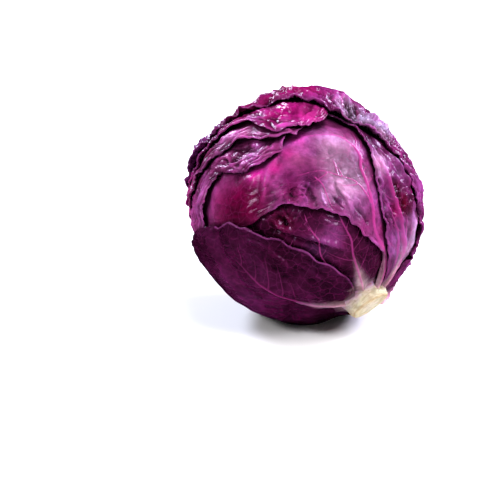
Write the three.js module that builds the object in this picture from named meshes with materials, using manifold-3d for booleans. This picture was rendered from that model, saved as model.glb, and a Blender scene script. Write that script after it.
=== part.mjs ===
// A whole head of red cabbage, lying on its side as picked, with its cut stump low at the front right.
// Eight big wrapper leaves lie over each other round a dense heart. The white core runs from the
// stump into the heart. Millimetres, +Z up, the resting surface at z = 0.
//
// A place on the head is [around, along] in degrees: along runs from the stump (0) to the crown (180),
// around turns about the stump's axis, and is 0 on the side that faces the front.

import * as THREE from 'three';
import { mergeVertices } from 'three/addons/utils/BufferGeometryUtils.js';
import Module from 'manifold-3d';

const wasm = await Module();
wasm.setup();

const HEART_RADIUS = 75.6;
const HEART_STEP = 0.7; // height of the steps where the heart's own leaves lap over each other
const HEART_GAP = 0.8; // air between the heart and the innermost wrapper leaf
const LEAF_THICKNESS = 1.0;
const LAYER_STEP = 2.85; // how far a leaf lifts the next one: its thickness, its ribs and some air
const DRAPE = 20; // how far outside a lower leaf's margin an upper leaf comes down off it
const DRAPE_HOLD = 8; // and how far outside the margin it is still fully held up
const RIB_HEIGHT = 0.9;
const RIB_HALF_WIDTH = 3.2;
const LOBE_DEPTH = 1.1; // how far the small lobes of a free margin reach out and in
const HEAD_RADIUS = 84; // turns angles on the head into lengths
const SPOT_DEPTH = 1.4; // how much of the round the flat resting spot takes away
const SPOT_RADIUS = 18;
const SPOT_FADE = 12; // how far outside the spot its pressed leaf comes back to the round

const STUMP_RADIUS = 15.5;
const STUMP_END = 88; // distance of the cut face from the head's middle
const CORE_LENGTH = 71;
const CLEARANCE = 0.3;

const STUMP_BEARING = { azimuth: 47.6, elevation: -41.4 };
const FRONT_BEARING = { azimuth: 0, elevation: 17 };

const radians = THREE.MathUtils.degToRad;

// Azimuth 0 is the front, -Y, and grows towards +X. Elevation is above the horizon.
function compass({ azimuth, elevation }) {
  const turn = radians(azimuth);
  const rise = radians(elevation);
  return new THREE.Vector3(
    Math.sin(turn) * Math.cos(rise),
    -Math.cos(turn) * Math.cos(rise),
    Math.sin(rise),
  );
}

const DOWN = new THREE.Vector3(0, 0, -1);
const stumpAxis = compass(STUMP_BEARING);
const front = compass(FRONT_BEARING);
const aroundZero = front.clone().addScaledVector(stumpAxis, -front.dot(stumpAxis)).normalize();
const aroundQuarter = stumpAxis.clone().cross(aroundZero);

function onHead([around, along]) {
  const turn = radians(around);
  const fall = radians(along);
  return stumpAxis
    .clone()
    .multiplyScalar(Math.cos(fall))
    .addScaledVector(aroundZero, Math.sin(fall) * Math.cos(turn))
    .addScaledVector(aroundQuarter, Math.sin(fall) * Math.sin(turn));
}

function smooth(value) {
  const share = THREE.MathUtils.clamp(value, 0, 1);
  return share * share * (3 - 2 * share);
}

function bulge(direction, place, spread) {
  const away = direction.angleTo(place) / radians(spread);
  return Math.exp(-away * away);
}

// The heart is a lumpy ball, drawn in round the stump and a little flat at the upper right.
const upperRight = compass({ azimuth: 55, elevation: 42 });
const lowerRight = compass({ azimuth: 95, elevation: 0 });
const frontFace = compass({ azimuth: 5, elevation: 20 });

function roundHeart(direction) {
  const { x, y, z } = direction;
  const lumps =
    0.8 * Math.sin(5.1 * x + 2.0 * z) +
    0.7 * Math.sin(4.3 * y - 3.7 * z + 1.3) +
    0.5 * Math.sin(7.9 * x - 5.2 * y + 0.4);
  const shape =
    -1.0 * bulge(direction, upperRight, 32) +
    2.5 * bulge(direction, lowerRight, 45) +
    2.0 * bulge(direction, frontFace, 50) -
    7.0 * bulge(direction, stumpAxis, 26);
  return HEART_RADIUS + lumps + shape;
}

const heartFloor = roundHeart(DOWN) - SPOT_DEPTH;

function heartRadius(direction) {
  const round = roundHeart(direction);
  return direction.z < -0.5 ? Math.min(round, heartFloor / -direction.z) : round;
}

// Each leaf: its middle, its margin all the way round, and its free arc, where the margin lies
// open and ruffled. The list runs from the innermost leaf to the outermost.
const LEAVES = [
  {
    name: 'under_leaf',
    colour: '#6f3a68',
    centre: [-8, 58],
    margin: [
      [-22, 15], [2, 15], [20, 27], [36, 45], [44, 65], [36, 85], [12, 98], [-20, 100],
      [-44, 92], [-60, 75], [-60, 50], [-48, 28], [-36, 17],
    ],
    free: null,
    veins: [
      { path: [[-12, 20], [-13, 40], [-13, 62], [-18, 82]], height: 1 },
      { path: [[-10, 28], [1, 54], [2, 64], [5, 80]], height: 0.8 },
      { path: [[-16, 26], [-27, 45], [-34, 62]], height: 0.7 },
    ],
  },
  {
    name: 'main_leaf',
    colour: '#a9639c',
    centre: [-40, 90],
    margin: [
      [-54, 14], [-47, 15], [-43, 29], [-35, 37], [-26, 44], [-19, 56], [-9, 67], [-1, 75],
      [6, 81], [16, 83], [30, 85], [44, 90], [56, 100], [60, 110], [52, 122], [30, 134],
      [0, 137], [-30, 134], [-58, 128], [-68, 112], [-66, 92], [-62, 72], [-62, 48], [-64, 28],
      [-63, 15],
    ],
    free: { from: [-45, 24], to: [24, 84], band: 14, flare: 1.3, ruffle: 2.2, waves: [37, 61] },
    veins: [
      { path: [[-52, 18], [-46, 32], [-31, 54], [-38, 75], [-40, 95], [-39, 118]], height: 1 },
      { path: [[-31, 56], [-28, 70], [-15, 85], [-4, 92], [10, 98]], height: 0.7 },
      { path: [[-36, 66], [-34, 84], [-24, 99], [-10, 110]], height: 0.6 },
      { path: [[-37, 38], [-22, 58], [-15, 78], [-13, 92]], height: 0.6 },
      { path: [[16, 85], [9, 93], [-1, 99], [-14, 104]], height: 0.8 },
    ],
  },
  {
    name: 'right_leaf',
    colour: '#8a4c7d',
    centre: [-92, 72],
    margin: [
      [-104, 15], [-74, 15], [-55, 20], [-44, 32], [-40, 44], [-39, 56], [-41, 68], [-44, 80],
      [-47, 92], [-47, 102], [-42, 112], [-33, 120], [-36, 130], [-60, 136], [-88, 136],
      [-116, 130], [-140, 115], [-150, 90], [-146, 60], [-134, 32], [-120, 18],
    ],
    free: { from: [-62, 17], to: [-36, 122], band: 11, flare: 1.4, ruffle: 1.2, waves: [23, 41] },
    pleats: { every: 7.5, depth: 1.3 },
    veins: [
      { path: [[-80, 17], [-66, 36], [-62, 60], [-64, 86], [-62, 108]], height: 1 },
    ],
  },
  {
    name: 'low_shoulder_leaf',
    colour: '#7d3f74',
    centre: [152, 126],
    margin: [
      [168, 15], [128, 15], [112, 28], [95, 46], [78, 68], [62, 90], [46, 110], [32, 117],
      [26, 117], [18, 110], [9, 104], [1, 102], [-6, 103], [-13, 108], [-20, 117], [-36, 132],
      [-80, 141], [-112, 134], [-142, 112], [-160, 84], [-170, 52], [-178, 28],
    ],
    free: { from: [-18, 112], to: [66, 84], band: 18, flare: 1.6, ruffle: 3.2, waves: [33, 57] },
    veins: [
      { path: [[150, 18], [130, 50], [100, 86], [66, 112], [34, 124]], height: 1 },
      { path: [[66, 112], [46, 114], [30, 119]], height: 0.6 },
      { path: [[46, 120], [20, 117], [4, 108]], height: 0.7 },
    ],
  },
  {
    name: 'mid_shoulder_leaf',
    colour: '#8e4784',
    centre: [178, 130],
    margin: [
      [-170, 15], [166, 15], [152, 34], [132, 62], [108, 88], [84, 110], [58, 124], [36, 130],
      [19, 127], [8, 125], [0, 119], [-4, 112], [-9, 107], [-17, 106], [-28, 111], [-46, 125],
      [-80, 132], [-110, 122], [-134, 100], [-148, 72], [-156, 42], [-162, 24],
    ],
    free: { from: [-26, 110], to: [70, 118], band: 16, flare: 1.4, ruffle: 3.0, waves: [29, 51] },
    veins: [
      { path: [[178, 18], [160, 60], [130, 100], [90, 126], [50, 138]], height: 1 },
      { path: [[60, 136], [20, 136], [-2, 124], [-12, 112]], height: 0.7 },
    ],
  },
  {
    name: 'top_shoulder_leaf',
    colour: '#b02a8a',
    centre: [-170, 136],
    margin: [
      [-156, 15], [178, 15], [162, 36], [146, 64], [124, 92], [98, 116], [66, 132], [34, 140],
      [10, 138], [-2, 132], [-5, 123], [-9, 113], [-16, 108], [-26, 106], [-35, 107], [-44, 114],
      [-66, 120], [-92, 108], [-116, 86], [-130, 58], [-140, 32],
    ],
    free: { from: [-38, 108], to: [92, 119], band: 20, flare: 1.5, ruffle: 3.0, waves: [27, 46] },
    veins: [
      { path: [[-168, 18], [-172, 60], [170, 104], [130, 140], [60, 152]], height: 1 },
      { path: [[60, 152], [0, 146], [-14, 128], [-22, 112]], height: 0.8 },
      { path: [[20, 150], [-40, 138], [-52, 122]], height: 0.6 },
    ],
  },
  {
    name: 'crown_leaf',
    colour: '#93447f',
    centre: [-146, 118],
    margin: [
      [-138, 15], [-172, 15], [172, 36], [156, 66], [134, 96], [108, 122], [74, 140], [40, 145],
      [10, 145], [-10, 140], [-20, 133], [-27, 124], [-36, 115], [-46, 105], [-52, 97],
      [-57, 88], [-61, 80], [-66, 73], [-76, 64], [-92, 52], [-108, 36], [-118, 20],
    ],
    free: { from: [-88, 56], to: [100, 128], band: 17, flare: 1.5, ruffle: 3.0, waves: [31, 53] },
    veins: [
      { path: [[-150, 18], [-150, 60], [-146, 105], [-110, 140], [-50, 142]], height: 1 },
      { path: [[-150, 66], [-170, 92], [162, 108], [132, 114]], height: 0.8 },
      { path: [[-147, 98], [-172, 120], [150, 134], [110, 132]], height: 0.7 },
      { path: [[-150, 60], [-130, 82], [-106, 92], [-84, 86]], height: 0.8 },
      { path: [[-147, 90], [-120, 108], [-90, 112], [-66, 102]], height: 0.7 },
    ],
  },
  {
    name: 'low_leaf',
    colour: '#4f2349',
    centre: [80, 62],
    margin: [
      [96, 15], [42, 15], [14, 18], [3, 27], [4, 37], [8, 47], [13, 57], [18, 66], [23, 76],
      [31, 88], [48, 99], [76, 106], [106, 106], [134, 98], [158, 80], [170, 56], [160, 32],
      [134, 18],
    ],
    free: { from: [46, 97], to: [8, 22], band: 12, flare: 0.8, ruffle: 1.4, waves: [21, 37] },
    veins: [
      { path: [[60, 17], [52, 36], [44, 58], [42, 82]], height: 1 },
      { path: [[54, 26], [30, 44], [20, 62]], height: 0.8 },
    ],
  },
];

const MARGIN_SAMPLES = 540;

class Leaf {
  constructor(spec) {
    Object.assign(this, spec);
    this.middle = onHead(spec.centre);
    this.towardsStump = stumpAxis
      .clone()
      .addScaledVector(this.middle, -stumpAxis.dot(this.middle))
      .normalize();
    this.sideways = stumpAxis.clone().cross(this.middle).normalize();
    this.outline = spec.margin
      .map((place) => this.polar(onHead(place)))
      .sort((a, b) => a.bearing - b.bearing);
    if (spec.free) {
      const [from, to] = [spec.free.from, spec.free.to].map(
        (place) => this.polar(onHead(place)).bearing,
      );
      this.freeSpan = { from, length: (to - from + 2 * Math.PI) % (2 * Math.PI) };
    }
    this.marginPlaces = Array.from({ length: MARGIN_SAMPLES }, (_, index) => {
      const bearing = (index / MARGIN_SAMPLES) * 2 * Math.PI;
      return this.direction(bearing, this.marginReach(bearing));
    });
  }

  // Where a direction lies on the leaf: its bearing about the leaf's middle and its reach from it.
  polar(direction) {
    const bearing = Math.atan2(direction.dot(this.sideways), direction.dot(this.towardsStump));
    return {
      bearing: (bearing + 2 * Math.PI) % (2 * Math.PI),
      reach: direction.angleTo(this.middle),
    };
  }

  direction(bearing, reach) {
    return this.middle
      .clone()
      .multiplyScalar(Math.cos(reach))
      .addScaledVector(this.towardsStump, Math.sin(reach) * Math.cos(bearing))
      .addScaledVector(this.sideways, Math.sin(reach) * Math.sin(bearing));
  }

  // A smooth closed curve through the margin's points.
  marginReach(bearing) {
    const points = this.outline;
    const count = points.length;
    const found = points.findIndex((point) => point.bearing > bearing);
    const next = found < 0 ? count : found;
    const at = (index) => {
      const point = points[(index + count) % count];
      const laps = Math.floor(index / count);
      return { x: point.bearing + laps * 2 * Math.PI, y: point.reach };
    };
    const [before, start, end, after] = [next - 2, next - 1, next, next + 1].map(at);
    const span = end.x - start.x;
    const startSlope = ((end.y - before.y) / (end.x - before.x)) * span;
    const endSlope = ((after.y - start.y) / (after.x - start.x)) * span;
    const s = (bearing - start.x) / span;
    const reach =
      (2 * s ** 3 - 3 * s ** 2 + 1) * start.y +
      (s ** 3 - 2 * s ** 2 + s) * startSlope +
      (3 * s ** 2 - 2 * s ** 3) * end.y +
      (s ** 3 - s ** 2) * endSlope;
    return reach + this.lobes(bearing);
  }

  lobes(bearing) {
    if (!this.free) return 0;
    const [slow, fast] = this.free.waves;
    const ripple = Math.sin(slow * bearing + 1) + 0.6 * Math.sin(fast * bearing);
    return (LOBE_DEPTH / HEAD_RADIUS) * ripple * this.freeShare(bearing);
  }

  // 1 on the free arc, 0 elsewhere, with soft ends.
  freeShare(bearing) {
    if (!this.freeSpan) return 0;
    const { from, length } = this.freeSpan;
    const past = (bearing - from + 4 * Math.PI) % (2 * Math.PI);
    const soft = radians(7);
    if (past > length) return 0;
    return smooth(past / soft) * smooth((length - past) / soft);
  }

  // How far inside the margin a direction lies, in millimetres. Negative is outside.
  depth(direction, { bearing, reach }) {
    let nearest = -1;
    for (const place of this.marginPlaces) nearest = Math.max(nearest, place.dot(direction));
    const distance = Math.acos(Math.min(nearest, 1)) * HEAD_RADIUS;
    return reach < this.marginReach(bearing) ? distance : -distance;
  }

  // The rise of the open margin, and of the pleats where the leaf has them.
  lift(direction, place, depth) {
    let rise = 0;
    if (this.free) {
      const { band, flare, ruffle, waves } = this.free;
      const edge = this.freeShare(place.bearing) * (1 - smooth(depth / band));
      const [slow, fast] = waves;
      const wave = 0.6 * Math.sin(slow * place.bearing) + 0.4 * Math.sin(fast * place.bearing + 2);
      rise += edge * (flare + ruffle * (0.5 + 0.5 * wave));
    }
    if (this.pleats) {
      rise += this.pleatRise(direction, depth) * (0.5 + 0.5 * Math.cos(this.pleatTurn(direction)));
    }
    return rise;
  }

  pleatTurn(direction) {
    const turn = Math.atan2(direction.dot(aroundQuarter), direction.dot(aroundZero));
    return (turn * 360) / this.pleats.every + 1.5 * Math.sin(3 * direction.z);
  }

  pleatRise(direction, depth) {
    return this.pleats.depth * smooth((depth - 6) / 18);
  }

  // What this leaf adds under every leaf that lies over it.
  cover(direction) {
    const place = this.polar(direction);
    const depth = this.depth(direction, place);
    if (depth < -DRAPE) return 0;
    let height = LAYER_STEP;
    if (this.free) {
      const edge = this.freeShare(place.bearing) * (1 - smooth(depth / this.free.band));
      height += edge * (this.free.flare + this.free.ruffle);
    }
    if (this.pleats) height += this.pleatRise(direction, depth);
    return height * smooth((depth + DRAPE) / (DRAPE - DRAPE_HOLD));
  }
}

const leaves = LEAVES.map((spec) => new Leaf(spec));

function innerFace(index, direction) {
  const leaf = leaves[index];
  const place = leaf.polar(direction);
  const below = leaves.slice(0, index).reduce((sum, lower) => sum + lower.cover(direction), 0);
  const depth = leaf.depth(direction, place);
  return heartRadius(direction) + HEART_GAP + below + leaf.lift(direction, place, depth);
}

// The head rests on its outermost leaf, which is pressed flat on a small spot straight below the
// middle. A ring of places on the spot, at a share of its radius:
const outermost = leaves.length - 1;

function spotRing(share, corners) {
  return Array.from({ length: corners }, (_, index) => {
    const turn = (index / corners) * 2 * Math.PI;
    const off = SPOT_RADIUS * share;
    return new THREE.Vector3(off * Math.cos(turn), off * Math.sin(turn), -HEAD_RADIUS).normalize();
  });
}

const middleHeight = [0.01, 0.35, 0.7, 1]
  .flatMap((share) => spotRing(share, 12))
  .reduce((height, place) => {
    const reach = innerFace(outermost, place) + LEAF_THICKNESS;
    return Math.max(height, reach * -place.z);
  }, 0);
const headMiddle = new THREE.Vector3(0, 0, middleHeight);

function outerFace(index, direction) {
  const round = innerFace(index, direction) + LEAF_THICKNESS;
  if (index !== outermost || direction.z > -0.5) return round;
  const table = middleHeight / -direction.z;
  const off = direction.angleTo(DOWN) * HEAD_RADIUS;
  const pressed = 1 - smooth((off - SPOT_RADIUS) / SPOT_FADE);
  return Math.min(table, round + pressed * (table - round));
}

function inPlane(leaf, direction, raise = 0) {
  const { bearing, reach } = leaf.polar(direction);
  return flat(bearing, reach, raise);
}

function flat(bearing, reach, raise = 0) {
  const length = reach * HEAD_RADIUS;
  return { x: length * Math.sin(bearing), y: length * Math.cos(bearing), raise };
}

function unflatten(leaf, { x, y }) {
  return leaf.direction(Math.atan2(x, y), Math.hypot(x, y) / HEAD_RADIUS);
}

function planeDepth(leaf, point) {
  const direction = unflatten(leaf, point);
  return leaf.depth(direction, leaf.polar(direction));
}

// Points along the margin, close together where it is ruffled, and two rows inside the ruffles.
const FREE_SPACING = 3.8;
const COVERED_SPACING = 11;
const RUFFLE_ROWS = [5, 11]; // how far the rows lie inside the margin

function marginPoints(leaf) {
  const steps = 7200;
  const turn = (2 * Math.PI) / steps;
  const costs = [0];
  for (let i = 0; i < steps; i += 1) {
    const bearing = i * turn;
    const here = flat(bearing, leaf.marginReach(bearing));
    const there = flat(bearing + turn, leaf.marginReach((bearing + turn) % (2 * Math.PI)));
    const share = leaf.freeShare(bearing);
    const spacing = COVERED_SPACING + (FREE_SPACING - COVERED_SPACING) * smooth(share * 2);
    const shrink = Math.sin(leaf.marginReach(bearing)) / leaf.marginReach(bearing);
    const length = Math.hypot(here.x - there.x, here.y - there.y) * Math.max(shrink, 0.6);
    costs.push(costs[i] + length / spacing);
  }
  const count = Math.round(costs[steps]);
  const bearingAt = (place) => {
    const cost = (place / count) * costs[steps];
    const found = costs.findIndex((value) => value >= cost);
    return Math.max(found, 0) * turn;
  };
  const points = [];
  for (let i = 0; i < count; i += 1) {
    const bearing = bearingAt(i);
    points.push(flat(bearing, leaf.marginReach(bearing)));
    const between = bearingAt(i + 0.5);
    if (leaf.freeShare(between) > 0.4) {
      points.push(flat(between, leaf.marginReach(between) - RUFFLE_ROWS[0] / HEAD_RADIUS));
      if (i % 2) {
        points.push(flat(bearing, leaf.marginReach(bearing) - RUFFLE_ROWS[1] / HEAD_RADIUS));
      }
    }
  }
  return points;
}

function curveOnHead(path) {
  return new THREE.CatmullRomCurve3(path.map(onHead));
}

// Three rows of points for each rib: its crest, raised, and the two feet that it stands on.
function ribPoints(leaf, vein) {
  const curve = curveOnHead(vein.path);
  const count = Math.max(2, Math.round((curve.getLength() * HEAD_RADIUS) / 10));
  const points = [];
  for (let i = 0; i <= count; i += 1) {
    const share = i / count;
    const direction = curve.getPointAt(share).normalize();
    const across = curve.getTangentAt(share).cross(direction).normalize();
    const height = RIB_HEIGHT * vein.height * (1 - 0.6 * share);
    points.push(inPlane(leaf, direction, height));
    for (const side of [-1, 1]) {
      const offset = (side * RIB_HALF_WIDTH) / HEAD_RADIUS;
      const foot = direction.clone().addScaledVector(across, offset).normalize();
      points.push(inPlane(leaf, foot));
    }
  }
  return points.filter((point) => planeDepth(leaf, point) > 3.5);
}

// The flat spot has a ring of points on its rim and a triangle of them round its middle.
function spotPoints(leaf) {
  return [...spotRing(0.4, 3), ...spotRing(1, 12)].map((place) => inPlane(leaf, place));
}

// The rest of a leaf is filled with an even net of points that keeps clear of its other points.
const FILL_SPACING = 14;
const RUFFLE_ROOM = 17;
const MARGIN_ROOM = 8;
const POINT_ROOM = 7.5;

function fillPoints(leaf, others) {
  const points = [];
  const size = Math.PI * HEAD_RADIUS;
  const row = (FILL_SPACING * Math.sqrt(3)) / 2;
  for (let j = 0, y = -size; y < size; j += 1, y += row) {
    for (let x = -size + (j % 2) * (FILL_SPACING / 2); x < size; x += FILL_SPACING) {
      const point = { x, y, raise: 0 };
      const reach = Math.hypot(x, y) / HEAD_RADIUS;
      if (reach > Math.PI - 0.3) continue;
      const bearing = (Math.atan2(x, y) + 2 * Math.PI) % (2 * Math.PI);
      const room = leaf.freeShare(bearing) > 0.3 ? RUFFLE_ROOM : MARGIN_ROOM;
      if (planeDepth(leaf, point) < room) continue;
      const crowded = others.some((other) => Math.hypot(other.x - x, other.y - y) < POINT_ROOM);
      if (!crowded) points.push(point);
    }
  }
  return points;
}

// Delaunay triangles of points in a plane, one point added at a time.
function triangulate(points) {
  const far = 1e4;
  const all = [...points, { x: -far, y: -far }, { x: far, y: -far }, { x: 0, y: far }];
  const count = points.length;
  const circle = (a, b, c) => {
    const [p, q, r] = [all[a], all[b], all[c]];
    const twice = 2 * (p.x * (q.y - r.y) + q.x * (r.y - p.y) + r.x * (p.y - q.y));
    const [pp, qq, rr] = [p, q, r].map((point) => point.x ** 2 + point.y ** 2);
    const x = (pp * (q.y - r.y) + qq * (r.y - p.y) + rr * (p.y - q.y)) / twice;
    const y = (pp * (r.x - q.x) + qq * (p.x - r.x) + rr * (q.x - p.x)) / twice;
    return { corners: [a, b, c], x, y, radius: Math.hypot(p.x - x, p.y - y) };
  };
  let triangles = [circle(count, count + 1, count + 2)];
  for (let i = 0; i < count; i += 1) {
    const edges = new Map();
    const kept = [];
    for (const triangle of triangles) {
      if (Math.hypot(all[i].x - triangle.x, all[i].y - triangle.y) > triangle.radius) {
        kept.push(triangle);
        continue;
      }
      triangle.corners.forEach((from, k) => {
        const to = triangle.corners[(k + 1) % 3];
        if (!edges.delete(`${to} ${from}`)) edges.set(`${from} ${to}`, [from, to]);
      });
    }
    triangles = [...kept, ...[...edges.values()].map(([from, to]) => circle(from, to, i))];
  }
  return triangles
    .map((triangle) => triangle.corners)
    .filter((corners) => corners.every((corner) => corner < count));
}

function leafTriangles(leaf, points) {
  const inside = triangulate(points).filter((corners) => {
    const [a, b, c] = corners.map((corner) => points[corner]);
    const middle = { x: (a.x + b.x + c.x) / 3, y: (a.y + b.y + c.y) / 3 };
    return planeDepth(leaf, middle) > 0.25;
  });
  return withoutPinches(inside);
}

// Where two parts of a leaf would meet in a single corner, the smaller one is left out, so that
// the rim is one clean loop.
function withoutPinches(triangles) {
  const starts = new Map();
  for (const [from, to] of rimEdges(triangles)) {
    starts.set(from, [...(starts.get(from) ?? []), to]);
  }
  const pinch = [...starts].find(([, ends]) => ends.length > 1);
  if (!pinch) return triangles;
  const [corner, ends] = pinch;
  const fans = ends.map((end) => fanAt(triangles, corner, end));
  const smallest = fans.reduce((least, fan) => (fan.length < least.length ? fan : least));
  return withoutPinches(triangles.filter((triangle) => !smallest.includes(triangle)));
}

// The triangles that follow each other round a corner, from the one on the edge towards start.
function fanAt(triangles, corner, start) {
  const fan = [];
  let spoke = start;
  for (;;) {
    const from = spoke;
    const next = triangles.find((corners) => {
      const k = corners.indexOf(corner);
      return k >= 0 && corners[(k + 1) % 3] === from;
    });
    if (!next) return fan;
    fan.push(next);
    spoke = next[(next.indexOf(corner) + 2) % 3];
  }
}

// Edges that only one triangle has, which are the leaf's rim.
function rimEdges(triangles) {
  const edges = new Map();
  for (const corners of triangles) {
    corners.forEach((from, k) => {
      const to = corners[(k + 1) % 3];
      if (!edges.delete(`${to} ${from}`)) edges.set(`${from} ${to}`, [from, to]);
    });
  }
  return [...edges.values()];
}

function leafGeometry(index) {
  const leaf = leaves[index];
  // A tiny seeded shift keeps four points off one circle.
  const jitter = (k) => 0.02 * Math.sin(12.9898 * k + 78.233 * index);
  const fixed = [...marginPoints(leaf), ...leaf.veins.flatMap((vein) => ribPoints(leaf, vein))];
  if (index === outermost) fixed.push(...spotPoints(leaf));
  const spread = fixed.filter(
    (point, k) => !fixed.slice(0, k).some((o) => Math.hypot(o.x - point.x, o.y - point.y) < 1.6),
  );
  const points = [...spread, ...fillPoints(leaf, spread)];
  points.forEach((point, k) => {
    point.x += jitter(k);
    point.y += jitter(k + 0.5);
  });
  const triangles = leafTriangles(leaf, points);
  const positions = [];
  const place = (direction, radius) => {
    const point = direction.clone().multiplyScalar(radius).add(headMiddle);
    positions.push(point.x, point.y, point.z < 1e-6 ? 0 : point.z);
  };
  const directions = points.map((point) => unflatten(leaf, point));
  directions.forEach((direction, k) => {
    place(direction, outerFace(index, direction) + points[k].raise);
  });
  for (const direction of directions) {
    place(direction, outerFace(index, direction) - LEAF_THICKNESS);
  }
  const inner = points.length;
  const faces = triangles.flatMap(([a, b, c]) => [a, b, c, c + inner, b + inner, a + inner]);
  for (const [from, to] of rimEdges(triangles)) {
    faces.push(to, from, from + inner, to, from + inner, to + inner);
  }
  return geometryOf(positions, faces);
}

function geometryOf(positions, faces) {
  const geometry = new THREE.BufferGeometry();
  geometry.setAttribute('position', new THREE.Float32BufferAttribute(positions, 3));
  geometry.setIndex(faces);
  geometry.computeVertexNormals();
  return geometry;
}

function toSolid(geometry) {
  const bare = geometry.clone();
  bare.deleteAttribute('normal');
  bare.deleteAttribute('uv');
  const merged = mergeVertices(bare, 1e-4);
  return new wasm.Manifold(
    new wasm.Mesh({
      numProp: 3,
      vertProperties: new Float32Array(merged.attributes.position.array),
      triVerts: new Uint32Array(merged.index.array),
    }),
  );
}

function fromSolid(solid) {
  const { vertProperties, triVerts } = solid.getMesh();
  return geometryOf([...vertProperties], [...triVerts]);
}

// The white core swells from its blunt tip deep in the heart to the cut face of the stump.
function stemGeometry(clearance) {
  const tip = STUMP_END - CORE_LENGTH;
  const profile = [
    [0, tip - clearance],
    [5 + clearance, tip + 1 - clearance],
    [9 + clearance, tip + 14],
    [11 + clearance, tip + 38],
    [STUMP_RADIUS - 2 + clearance, STUMP_END - 16],
    [STUMP_RADIUS + clearance, STUMP_END - 8],
    [STUMP_RADIUS + clearance, STUMP_END - 1 + clearance],
    [STUMP_RADIUS - 1 + clearance, STUMP_END + clearance],
    [0, STUMP_END + clearance],
  ].map(([radius, height]) => new THREE.Vector2(radius, height));
  const geometry = new THREE.LatheGeometry(profile, 24);
  const turn = new THREE.Quaternion().setFromUnitVectors(new THREE.Vector3(0, 1, 0), stumpAxis);
  return geometry.applyQuaternion(turn).translate(0, 0, middleHeight);
}

// The heart's own leaves lap over each other as low steps that wind round it.
function heartStep(direction) {
  const turn = Math.atan2(direction.dot(aroundQuarter), direction.dot(aroundZero));
  const fall = direction.angleTo(stumpAxis);
  const leavesRound = 5;
  const wound = (((turn + 0.8 * fall) * leavesRound) / (2 * Math.PI) + 10) % 1;
  return HEART_STEP * (wound * Math.sin(fall) - 1.3);
}

function heartGeometry() {
  const ball = new THREE.IcosahedronGeometry(1, 7);
  ball.deleteAttribute('normal');
  ball.deleteAttribute('uv');
  const merged = mergeVertices(ball, 1e-4);
  const { position } = merged.attributes;
  const direction = new THREE.Vector3();
  for (let i = 0; i < position.count; i += 1) {
    direction.fromBufferAttribute(position, i).normalize();
    const radius = heartRadius(direction) + heartStep(direction);
    direction.multiplyScalar(radius).add(headMiddle);
    position.setXYZ(i, direction.x, direction.y, direction.z);
  }
  const cut = toSolid(merged).subtract(toSolid(stemGeometry(CLEARANCE)));
  return fromSolid(cut);
}

function piece(name, geometry, colour, roughness) {
  const material = new THREE.MeshStandardMaterial({ color: colour, roughness, metalness: 0 });
  const mesh = new THREE.Mesh(geometry, material);
  mesh.name = name;
  return mesh;
}

const head = new THREE.Group();
head.name = 'cabbage_head';
head.add(piece('stem', stemGeometry(0), '#efe6cf', 0.6));
head.add(piece('heart', heartGeometry(), '#7a3070', 0.45));
leaves.forEach((leaf, index) => {
  head.add(piece(leaf.name, leafGeometry(index), leaf.colour, 0.42));
});

export default head;
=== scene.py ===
import math

import bmesh
import bpy
import numpy as np
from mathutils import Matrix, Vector, noise


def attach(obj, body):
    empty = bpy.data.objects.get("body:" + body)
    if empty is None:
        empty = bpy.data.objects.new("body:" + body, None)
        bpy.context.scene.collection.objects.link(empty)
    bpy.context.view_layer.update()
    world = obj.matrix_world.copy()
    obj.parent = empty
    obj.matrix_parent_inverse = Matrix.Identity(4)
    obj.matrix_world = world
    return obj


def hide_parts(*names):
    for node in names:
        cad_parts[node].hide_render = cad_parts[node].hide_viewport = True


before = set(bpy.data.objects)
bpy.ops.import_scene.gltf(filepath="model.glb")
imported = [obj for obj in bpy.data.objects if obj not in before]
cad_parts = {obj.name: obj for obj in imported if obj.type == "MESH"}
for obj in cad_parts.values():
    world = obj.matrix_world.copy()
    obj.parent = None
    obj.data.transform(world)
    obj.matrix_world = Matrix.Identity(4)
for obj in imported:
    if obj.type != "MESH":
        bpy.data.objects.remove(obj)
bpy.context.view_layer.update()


# Camera. It stands a metre from the head and looks a little down on it, and it frames the head
# up and to the right of the picture's middle, as the photograph does.
HEAD_HEIGHT = 0.0833  # of the head's middle, above the table
VIEW_DISTANCE = 1.035
VIEW_ELEVATION = 17.0
AIM_FROM_MIDDLE = Vector((-0.0472, -0.0066, -0.0214))
LENS = 105.0

scene = bpy.context.scene
head_middle = Vector((0, 0, HEAD_HEIGHT))
rise = math.radians(VIEW_ELEVATION)
camera_data = bpy.data.cameras.new("camera")
camera_data.lens = LENS
camera_data.sensor_width = 36.0
camera = bpy.data.objects.new("camera", camera_data)
camera.location = head_middle + VIEW_DISTANCE * Vector((0, -math.cos(rise), math.sin(rise)))
sight = head_middle + AIM_FROM_MIDDLE - camera.location
camera.rotation_euler = sight.to_track_quat("-Z", "Y").to_euler()
scene.collection.objects.link(camera)
scene.camera = camera
scene.view_settings.view_transform = "Standard"


# Studio. A wide white table in a dim room, a broad light overhead, a soft box in front on either
# side, and two behind the head that put the cool gleam on its upper edges. Only the four boxes show
# in the wax: the mirror image of the light overhead, the room or the table would veil its colour.
OVERHEAD_STRENGTH = 2.85
OVERHEAD_ANGLE = 32.0
OVERHEAD_DIRECTION = Vector((-0.3, 0.3, -1.0))
ROOM_GLOW = 0.12
TABLE_SIZE = 6.0


def srgb(code):
    """A colour written as a hex value, turned to linear."""
    parts = np.array([int(code[at:at + 2], 16) / 255 for at in (1, 3, 5)])
    linear = np.where(parts <= 0.04045, parts / 12.92, ((parts + 0.055) / 1.055) ** 2.4)
    return (*linear, 1.0)


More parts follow.
